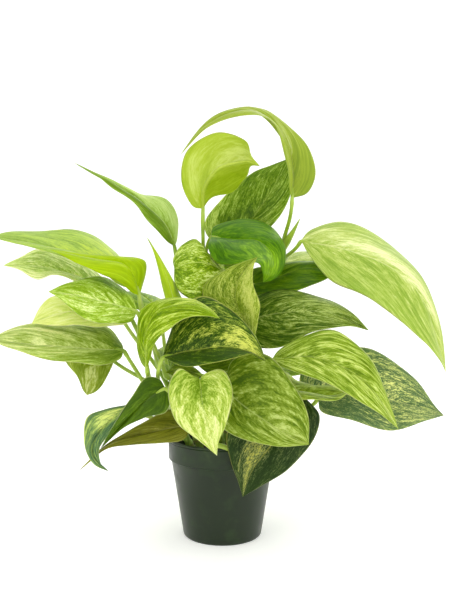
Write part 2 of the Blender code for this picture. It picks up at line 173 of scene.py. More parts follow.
def along(points: Array, shares: Array) -> Array:
    """Points at these shares of the length of a smooth curve through the given points.

    The curve is a Catmull-Rom spline: between two points it is the cubic whose slope at each is
    half the step between that point's two neighbours.

    Args:
        points: the curve's own points, one row each.
        shares: places on it, from 0 to 1.

    Returns:
        One row for each share.
    """
    p = np.asarray(points, float)
    p = np.vstack([2 * p[0] - p[1], p, 2 * p[-1] - p[-2]])
    a, b, c, d = (p[i : len(p) - 3 + i, None] for i in range(4))
    t = np.linspace(0, 1, CURVE_STEPS, endpoint=False)[None, :, None]
    curve = b + 0.5 * t * (c - a + t * (2 * a - 5 * b + 4 * c - d + t * (3 * b - a - 3 * c + d)))
    curve = np.vstack([curve.reshape(-1, 3), p[-2]])
    lengths = np.append(0, np.cumsum(np.linalg.norm(np.diff(curve, axis=0), axis=1)))
    wanted = np.asarray(shares) * lengths[-1]
    return np.stack([np.interp(wanted, lengths, axis) for axis in curve.T], axis=-1)


def smoothed(curve: Array, passes: int) -> Array:
    """The curve with each inner point moved half way to the middle of its neighbours.

    Args:
        curve: points or vectors, one row each.
        passes: how many times this is done.

    Returns:
        The smoothed rows.
    """
    curve = curve.copy()
    for _ in range(passes):
        curve[1:-1] += 0.5 * (0.5 * (curve[:-2] + curve[2:]) - curve[1:-1])
    return curve


def value_noise(places: Array, step: float, seed: int) -> Array:
    """Smooth noise from -1 to 1: a random value at each corner of a lattice, eased in between.

    Args:
        places: points, with the coordinates along the last axis.
        step: the lattice's spacing, in the points' own units.
        seed: another number gives another pattern.

    Returns:
        One value for each point.
    """
    at = np.asarray(places, float) / step
    cell = np.floor(at).astype(np.int64)
    ease = (at - cell) ** 2 * (3 - 2 * (at - cell))
    total = np.zeros(at.shape[:-1])
    for corner in np.ndindex(*(2,) * at.shape[-1]):
        keys = cell + corner
        mixed = keys @ CORNER_KEYS[: at.shape[-1]] + seed * SEED_KEY
        mixed = (mixed ^ (mixed >> 13)) * MIX_KEY & LOW_BITS
        mixed = (mixed ^ (mixed >> 16)) % NOISE_LEVELS
        share = np.where(np.array(corner, bool), ease, 1 - ease).prod(axis=-1)
        total += share * (mixed / (0.5 * (NOISE_LEVELS - 1)) - 1)
    return total


def grid_quads(rows: int, columns: int, around: bool = False) -> Array:
    """Quads of a grid of points stored row by row.

    Args:
        rows: how many rows.
        columns: how many points in each.
        around: whether the last column joins the first.

    Returns:
        One quad a row.
    """
    index = np.arange(rows * columns).reshape(rows, columns)
    if around:
        index = np.hstack([index, index[:, :1]])
    corners = (index[:-1, :-1], index[:-1, 1:], index[1:, 1:], index[1:, :-1])
    return np.stack(corners, axis=-1).reshape(-1, 4)


def fan(hub: int, ring: Array, flip: bool = False) -> Array:
    """Triangles from a hub to each side of a closed ring.

    Args:
        hub: the hub's number.
        ring: the numbers of the ring's points, in order.
        flip: turns the triangles over.

    Returns:
        One triangle a row.
    """
    following = np.roll(ring, -1)
    sides = (following, ring) if flip else (ring, following)
    return np.stack([np.full(len(ring), hub), *sides], axis=1)


def rings_about_z(radius: Array, height: Array, angle: Array) -> Array:
    """Circles about Z, one a row: (radius cos angle, radius sin angle, height).

    Args:
        radius: each circle's radius.
        height: each circle's height.
        angle: where its points stand.

    Returns:
        An array of circles, points and coordinates.
    """
    x, y = np.outer(radius, np.cos(angle)), np.outer(radius, np.sin(angle))
    return np.stack([x, y, np.outer(height, np.ones(len(angle)))], axis=-1)


def frames_along(path: Array) -> tuple[Array, Array]:
    """Two unit vectors across a path at each of its points, turned as little as possible.

    Args:
        path: the path's points, one row each.

    Returns:
        The side vectors and the up vectors.
    """
    forward = unit(np.gradient(path, axis=0))
    helper = np.array([0.0, 0.0, 1.0]) if abs(forward[0, 2]) < 0.9 else np.array([1.0, 0.0, 0.0])
    side = unit(np.cross(forward[0], helper))
    sides = []
    for step in forward:
        side = unit(side - step * (side @ step))
        sides.append(side)
    sides = np.array(sides)
    return sides, unit(np.cross(sides, forward))


@dataclass
class Surface:
    """Points, faces and per-point values that become one mesh."""

    points: list[Array] = field(default_factory=list)
    faces: list[list[int]] = field(default_factory=list)
    slots: list[int] = field(default_factory=list)
    values: dict[str, list[Array]] = field(default_factory=dict)
    count: int = 0

    def add(self, points: Array, faces: list[Array], slot: int = 0, **values: Array) -> None:
        """Adds a shape.

        Args:
            points: its points, in millimetres.
            faces: arrays of faces, each with one face a row, that count from its first point.
            slot: the material slot of its faces.
            values: per-point values, each with one row a point.
        """
        for group in faces:
            self.faces.extend((np.asarray(group) + self.count).tolist())
            self.slots.extend([slot] * len(group))
        self.points.append(points)
        for name, data in values.items():
            self.values.setdefault(name, []).append(np.asarray(data, float))
        self.count += len(points)

    def mesh(self, name: str) -> bpy.types.Mesh:
        """Makes the mesh, in metres. Values of two numbers become UV maps, and others attributes.

        Args:
            name: the mesh's name.

        Returns:
            The mesh.
        """
        mesh = bpy.data.meshes.new(name)
        points = np.vstack(self.points) * MM
        mesh.from_pydata(points, [], self.faces)
        mesh.polygons.foreach_set("material_index", np.array(self.slots, np.int32))
        corners = np.empty(len(mesh.loops), np.int32)
        mesh.loops.foreach_get("vertex_index", corners)
        for key, parts in self.values.items():
            data = np.concatenate(parts)
            if data.ndim == 2:
                layer = mesh.uv_layers.new(name=key, do_init=False)
                layer.uv.foreach_set("vector", data[corners].astype(np.float32).ravel())
            else:
                attribute = mesh.attributes.new(key, "FLOAT", "POINT")
                attribute.data.foreach_set("value", data.astype(np.float32))
        mesh.shade_smooth()
        mesh.validate()
        return mesh


def tube_shape(path: Array, radii: Array, sides: int) -> tuple[Array, list[Array]]:
    """A closed round tube: a circle of each radius carried along the path, with a point at each end.

    Args:
        path: points along the middle.
        radii: the radius at each point.
        sides: how many sides each circle has.

    Returns:
        Its points, rings first and then the two ends, and its faces.
    """
    side, up = frames_along(path)
    angle = np.linspace(0, 2 * np.pi, sides, endpoint=False)
    x, y = np.cos(angle)[None, :, None], np.sin(angle)[None, :, None]
    circle = x * side[:, None] + y * up[:, None]
    rings = path[:, None] + circle * np.asarray(radii)[:, None, None]
    points = np.vstack([rings.reshape(-1, 3), path[0], path[-1]])
    quads = grid_quads(len(path), sides, around=True)
    start, end = len(points) - 2, len(points) - 1
    first = np.arange(sides)
    last = first + (len(path) - 1) * sides
    return points, [quads, fan(start, first, flip=True), fan(end, last)]


def turned_shape(profile: Array, steps: int) -> tuple[Array, list[Array]]:
    """A surface of revolution about Z: the closed profile turned through equal steps.

    Args:
        profile: (radius, height) rows, the last of which joins the first.
        steps: how many steps make the full turn.

    Returns:
        Its points and its faces.
    """
    angle = np.linspace(0, 2 * np.pi, steps, endpoint=False)
    points = rings_about_z(*profile.T, angle).swapaxes(0, 1)
    rows = np.arange(steps * len(profile)).reshape(steps, -1)
    rows = np.vstack([rows, rows[:1]])
    rows = np.hstack([rows, rows[:, :1]])
    corners = (rows[:-1, :-1], rows[1:, :-1], rows[1:, 1:], rows[:-1, 1:])
    return points.reshape(-1, 3), [np.stack(corners, axis=-1).reshape(-1, 4)]


def put_in_scene(name: str, data: bpy.types.ID) -> bpy.types.Object:
    """A new object in the scene that holds this mesh, light or camera."""
    made = bpy.data.objects.new(name, data)
    bpy.context.scene.collection.objects.link(made)
    return made


def new_piece(
    name: str, mesh: bpy.types.Mesh, materials: list[bpy.types.Material], slot: str, *nodes: str
) -> bpy.types.Object:
    """Puts a mesh in the scene as a piece of the object.

    Args:
        name: the piece's name.
        mesh: its mesh, in the frame's own place.
        materials: one for each of the mesh's material slots.
        slot: the record's material slot, which is not used.
        nodes: the frame's solids that it stands for.

    Returns:
        The new object.
    """
    piece = put_in_scene(name, mesh)
    for material in materials:
        mesh.materials.append(material)
    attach(piece, BODY)
    if nodes:
        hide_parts(*nodes)
    LOG.info("%s: %d faces", name, len(mesh.polygons))
    return piece


# ---------------------------------------------------------------- finishes


def colour(text: str) -> tuple[float, float, float, float]:
    """The linear colour of an sRGB hex value such as #86a030."""
    levels = np.array([int(text[i : i + 2], 16) for i in (1, 3, 5)]) / 255
    linear = np.where(levels <= 0.04045, levels / 12.92, ((levels + 0.055) / 1.055) ** 2.4)
    return (*linear.tolist(), 1.0)


def feed(tree: bpy.types.NodeTree, node: bpy.types.Node, inputs: dict) -> None:
    """Sets a node's inputs.

    Args:
        tree: the node's tree.
        node: the node.
        inputs: for each input, by name or number, a value or the socket that feeds it.
    """
    for key, value in inputs.items():
        if isinstance(value, bpy.types.NodeSocket):
            tree.links.new(value, node.inputs[key])
        else:
            node.inputs[key].default_value = value


def add_node(
    tree: bpy.types.NodeTree, kind: str, inputs: dict | None = None, **settings: str
) -> bpy.types.Node:
    """Adds a node.

    Args:
        tree: the material's node tree.
        kind: the node's type.
        inputs: for each input, by name or number, a value or the socket that feeds it.
        settings: the node's own settings.

    Returns:
        The new node.
    """
    node = tree.nodes.new(kind)
    for key, value in settings.items():
        setattr(node, key, value)
    feed(tree, node, inputs or {})
    return node


def new_material(name: str) -> tuple[bpy.types.Material, bpy.types.NodeTree, bpy.types.Node]:
    """An empty Principled material, its tree and its shader."""
    material = bpy.data.materials.new(name)
    material.use_nodes = True
    return material, material.node_tree, material.node_tree.nodes["Principled BSDF"]


def add_ramp(
    tree: bpy.types.NodeTree, source: bpy.types.NodeSocket, stops: list[tuple[float, str]]
) -> bpy.types.Node:
    """Adds a colour ramp.

    Args:
        tree: the material's node tree.
        source: the value that feeds it.
        stops: positions and sRGB hex colours.

    Returns:
        The ramp's node.
    """
    ramp = add_node(tree, "ShaderNodeValToRGB", {"Fac": source})
    elements = ramp.color_ramp.elements
    while len(elements) < len(stops):
        elements.new(1.0)
    for element, (position, text) in zip(elements, stops):
        element.position = position
        element.color = colour(text)
    return ramp


def leaf_material(leaf: Leaf, length: float, half_width: float, seed: int) -> bpy.types.Material:
    """Living pothos blade: waxy cuticle over soft tissue that lets some light through.

    The eye gets a soft satin gloss, crisp marbling drawn out along the side veins, and a
    brighter glow where light comes from behind.

    Args:
        leaf: the leaf, whose finish gives the colours.
        length: the blade's length, in millimetres.
        half_width: its widest half, in millimetres.
        seed: shifts the marbling, so that no two leaves match.

    Returns:
        The material.
    """
    finish = leaf.finish
    material, tree, shader = new_material(f"waxy_blade_{leaf.name}")
    veins = add_node(tree, "ShaderNodeUVMap", uv_map="veins").outputs["UV"]
    place = add_node(tree, "ShaderNodeTexCoord").outputs["Object"]
    tone = add_node(tree, "ShaderNodeAttribute", attribute_name="paleness").outputs["Fac"]
    layers = (
        Marbling(finish.patches, width=7.0, stretch=0.8, detail=5.0, edge=0.19),
        Marbling(finish.streaks, finish.streak_mm, finish.stretch, detail=3.0, edge=0.17),
        Marbling(finish.flecks, width=1.1, stretch=0.8, detail=1.0, edge=0.12),
    )
    for number, layer in enumerate(layers):
        spot = add_node(
            tree,
            "ShaderNodeMapping",
            {
                "Vector": veins,
                "Location": (seed * 1.73 + number, seed * 3.11, seed * 0.57),
                "Scale": (length / layer.width, half_width / (layer.width * layer.stretch), 1.0),
            },
        ).outputs["Vector"]
        noise = add_node(
            tree,
            "ShaderNodeTexNoise",
            {
                "Vector": spot,
                "Scale": 1.0,
                "Detail": layer.detail,
                "Roughness": 0.62,
                "Distortion": 1.1,
            },
        ).outputs["Fac"]
        step = add_node(
            tree,
            "ShaderNodeMapRange",
            {
                "Value": noise,
                "From Min": 0.5 - layer.edge,
                "From Max": 0.5 + layer.edge,
                "To Min": -0.5 * layer.gain,
                "To Max": 0.5 * layer.gain,
            },
            interpolation_type="SMOOTHSTEP",
        ).outputs[0]
        tone = add_node(tree, "ShaderNodeMath", {0: tone, 1: step}, operation="ADD").outputs[0]
    stops = [(0.0, finish.deep), (0.34, finish.green), (0.66, finish.lime), (1.0, finish.pale)]
    skin = add_ramp(tree, tone, stops).outputs["Color"]
    across = add_node(tree, "ShaderNodeSeparateXYZ", {"Vector": veins}).outputs["Y"]
    across = add_node(tree, "ShaderNodeMath", {0: across}, operation="ABSOLUTE").outputs[0]
    rib_mm, rim_mm = 1.0, 0.9
    for start, end, low, high in (
        (0.0, rib_mm / half_width, finish.rib, 0.0),
        (1 - rim_mm / half_width, 1.0, 0.0, finish.margin),
    ):
        mask = add_node(
            tree,
            "ShaderNodeMapRange",
            {"Value": across, "From Min": start, "From Max": end, "To Min": low, "To Max": high},
            interpolation_type="SMOOTHSTEP",
        ).outputs[0]
        skin = add_node(
            tree,
            "ShaderNodeMix",
            {"Factor": mask, 6: skin, 7: colour(finish.pale)},
            data_type="RGBA",
        ).outputs[2]
    # The cuticle's cells are about 0.05 mm across. They are drawn ten times as coarse to show.
    cells = add_node(
        tree, "ShaderNodeTexNoise", {"Vector": place, "Scale": 1 / (0.5 * MM), "Detail": 2.0}
    ).outputs["Fac"]
    relief = add_node(
        tree, "ShaderNodeMath", {0: tone, 1: 0.4, 2: cells}, operation="MULTIPLY_ADD"
    ).outputs[0]
    bump = add_node(
        tree, "ShaderNodeBump", {"Strength": 0.25, "Distance": 0.15 * MM, "Height": relief}
    ).outputs["Normal"]
    rough = add_node(
        tree,
        "ShaderNodeMapRange",
        {"Value": cells, "To Min": finish.roughness - 0.1, "To Max": finish.roughness + 0.1},
    ).outputs[0]
    look = {
        "Base Color": skin,
        "Normal": bump,
        "Roughness": rough,
        "IOR": 1.45,
        "Specular IOR Level": finish.gloss,
        "Subsurface Weight": 0.3,
        "Subsurface Radius": TISSUE_GLOW,
        "Subsurface Scale": 1.0 * MM,
    }
    feed(tree, shader, look)
    return material


def petiole_material() -> bpy.types.Material:
    """Leaf stalk: smooth juicy green skin, paler and yellower in places.

    Returns:
        The material.
    """
    material, tree, shader = new_material("leaf_stalk_skin")
    place = add_node(tree, "ShaderNodeTexCoord").outputs["Object"]
    drift = add_node(
        tree, "ShaderNodeTexNoise", {"Vector": place, "Scale": 1 / (16 * MM), "Detail": 3.0}
    ).outputs["Fac"]
    ramp = add_ramp(tree, drift, [(0.3, "#7c9a18"), (0.5, "#98b42e"), (0.72, "#b8cc5c")])
    look = {
        "Base Color": ramp.outputs["Color"],
        "Roughness": 0.38,
        "Subsurface Weight": 0.3,
        "Subsurface Radius": TISSUE_GLOW,
        "Subsurface Scale": 1.5 * MM,
    }
    feed(tree, shader, look)
    return material


def vine_material() -> bpy.types.Material:
    """Vine: green skin with fine lengthwise lines, and brown papery scars at its joints.

    Returns:
        The material.
    """
    material, tree, shader = new_material("vine_skin")
    place = add_node(tree, "ShaderNodeTexCoord").outputs["Object"]
    line_width, line_length = 1.2 * MM, 14 * MM
    scale = (1 / line_width, 1 / line_width, 1 / line_length)
    lines = add_node(tree, "ShaderNodeMapping", {"Vector": place, "Scale": scale}).outputs["Vector"]
    grain = add_node(
        tree, "ShaderNodeTexNoise", {"Vector": lines, "Scale": 1.0, "Detail": 4.0}
    ).outputs["Fac"]
    ramp = add_ramp(tree, grain, [(0.3, "#71912c"), (0.55, "#8fac44"), (0.8, "#b5c872")])
    scar = add_node(tree, "ShaderNodeAttribute", attribute_name="scar").outputs["Fac"]
    skin = add_node(
        tree,
        "ShaderNodeMix",
        {"Factor": scar, 6: ramp.outputs["Color"], 7: colour("#8a7442")},
        data_type="RGBA",
    ).outputs[2]
    bump = add_node(
        tree, "ShaderNodeBump", {"Strength": 0.4, "Distance": 0.2 * MM, "Height": grain}
    ).outputs["Normal"]
    look = {
        "Base Color": skin,
        "Normal": bump,
        "Roughness": 0.48,
        "Subsurface Weight": 0.2,
        "Subsurface Radius": TISSUE_GLOW,
        "Subsurface Scale": 2.0 * MM,
    }
    feed(tree, shader, look)
    return material


def pot_material() -> bpy.types.Material:
    """Polypropylene, injection moulded and very dark green: a satin skin, dusted with soil.

    The mould's fine texture gives broad soft highlights. Watering leaves a pale bloom and
    smudges of potting mix. The lower wall is painted darker, as painted shade, and the wall
    grows paler from 48 mm up to the lip.

    Returns:
        The material.
    """
    material, tree, shader = new_material("moulded_polypropylene")
    place = add_node(tree, "ShaderNodeTexCoord").outputs["Object"]
    smudge = add_node(
        tree,
        "ShaderNodeTexNoise",
        {"Vector": place, "Scale": 1 / (11 * MM), "Detail": 6.0, "Roughness": 0.6},
    ).outputs["Fac"]
    height = add_node(tree, "ShaderNodeSeparateXYZ", {"Vector": place}).outputs["Z"]
    # Painted shade: the lower wall is darker, and the wall grows paler from 48 mm up to the lip.
    lower_wall_shade = add_node(
        tree,
        "ShaderNodeMapRange",
        {"Value": height, "From Min": 48 * MM, "From Max": 76 * MM, "To Min": -0.22, "To Max": 0.02},
    ).outputs[0]
    dust_and_shade = add_node(
        tree, "ShaderNodeMath", {0: smudge, 1: lower_wall_shade}, operation="ADD"
    ).outputs[0]
    stops = [(0.3, "#15230c"), (0.5, "#1e3012"), (0.62, "#2b3b1c"), (0.75, "#484a2a")]
    ramp = add_ramp(tree, dust_and_shade, stops)
    grain = add_node(
        tree, "ShaderNodeTexNoise", {"Vector": place, "Scale": 1 / (0.6 * MM), "Detail": 2.0}
    ).outputs["Fac"]
    bump = add_node(
        tree, "ShaderNodeBump", {"Strength": 0.2, "Distance": 0.1 * MM, "Height": grain}
    ).outputs["Normal"]
    rough = add_node(
        tree,
        "ShaderNodeMapRange",
        {"Value": dust_and_shade, "From Min": 0.3, "From Max": 0.7, "To Min": 0.34, "To Max": 0.62},
    ).outputs[0]
    look = {
        "Base Color": ramp.outputs["Color"],
        "Normal": bump,
        "Roughness": rough,
        "IOR": 1.49,
        "Specular IOR Level": 0.35,
    }
    feed(tree, shader, look)
    return material


def crumb_material(name: str, dark: str, middle: str, light: str, size: float) -> bpy.types.Material:
    """A dull crumbly material with painted shade in its hollows and painted light on its tops.

    Args:
        name: its name.
        dark: the sRGB hex colour of its hollows, as painted shade.
            middle: its usual colour.
            light: the colour of its highest crumbs, as painted light.
        size: a crumb's size, in millimetres.

    Returns:
        The material.
    """
    material, tree, shader = new_material(name)
    place = add_node(tree, "ShaderNodeTexCoord").outputs["Object"]
    crumbs = add_node(
        tree,
        "ShaderNodeTexNoise",
        {"Vector": place, "Scale": 1 / (size * MM), "Detail": 6.0, "Roughness": 0.7},
    ).outputs["Fac"]
    # The bump below uses the same noise: its hollows get the dark colour, as painted shade, and its
    # crests the light colour, as painted light.
    ramp = add_ramp(tree, crumbs, [(0.3, dark), (0.5, middle), (0.72, light)])
    bump = add_node(
        tree, "ShaderNodeBump", {"Strength": 0.9, "Distance": 0.4 * MM, "Height": crumbs}
    ).outputs["Normal"]
    feed(tree, shader, {"Base Color": ramp.outputs["Color"], "Normal": bump, "Roughness": 0.92})
    return material


# ---------------------------------------------------------------- the plant

# The pot and the soil, as the frame holds them.
POT_HEIGHT = 74.0
LIP_RADIUS = 41.0
COLLAR_RADIUS = 40.2
COLLAR_HEIGHT = 16.0
NECK_RADIUS = 38.4
FOOT_RADIUS = 29.0
POT_WALL = 1.4
POT_FLOOR = 2.0
SOIL_EDGE = 61.0
SOIL_TOP = 63.5
SOIL_RADIUS = 36.6
VINE_FOOT = 63.8

VINES: dict[str, tuple[Point, ...]] = {
    "right": ((14, 6, VINE_FOOT), (20, 12, 110), (30, 20, 165), (43, 17, 212)),
    "centre": ((-2, 4, VINE_FOOT), (-6, 10, 100), (-10, 14, 150), (-12, 16, 192)),
    "left": ((-16, -2, VINE_FOOT), (-25, -7, 90), (-34, -13, 112), (-42, -18, 130)),
    "front_left": ((-20, -14, VINE_FOOT), (-30, -22, 84), (-42, -32, 104), (-50, -42, 118)),
    "front": ((0, -20, VINE_FOOT), (-2, -28, 84), (-4, -34, 104), (-6, -38, 120)),
    "front_right": ((16, -14, VINE_FOOT), (24, -20, 84), (32, -26, 104), (38, -30, 122)),
    "back": ((2, 20, VINE_FOOT), (3, 26, 90), (4, 32, 118), (4, 38, 142)),
}

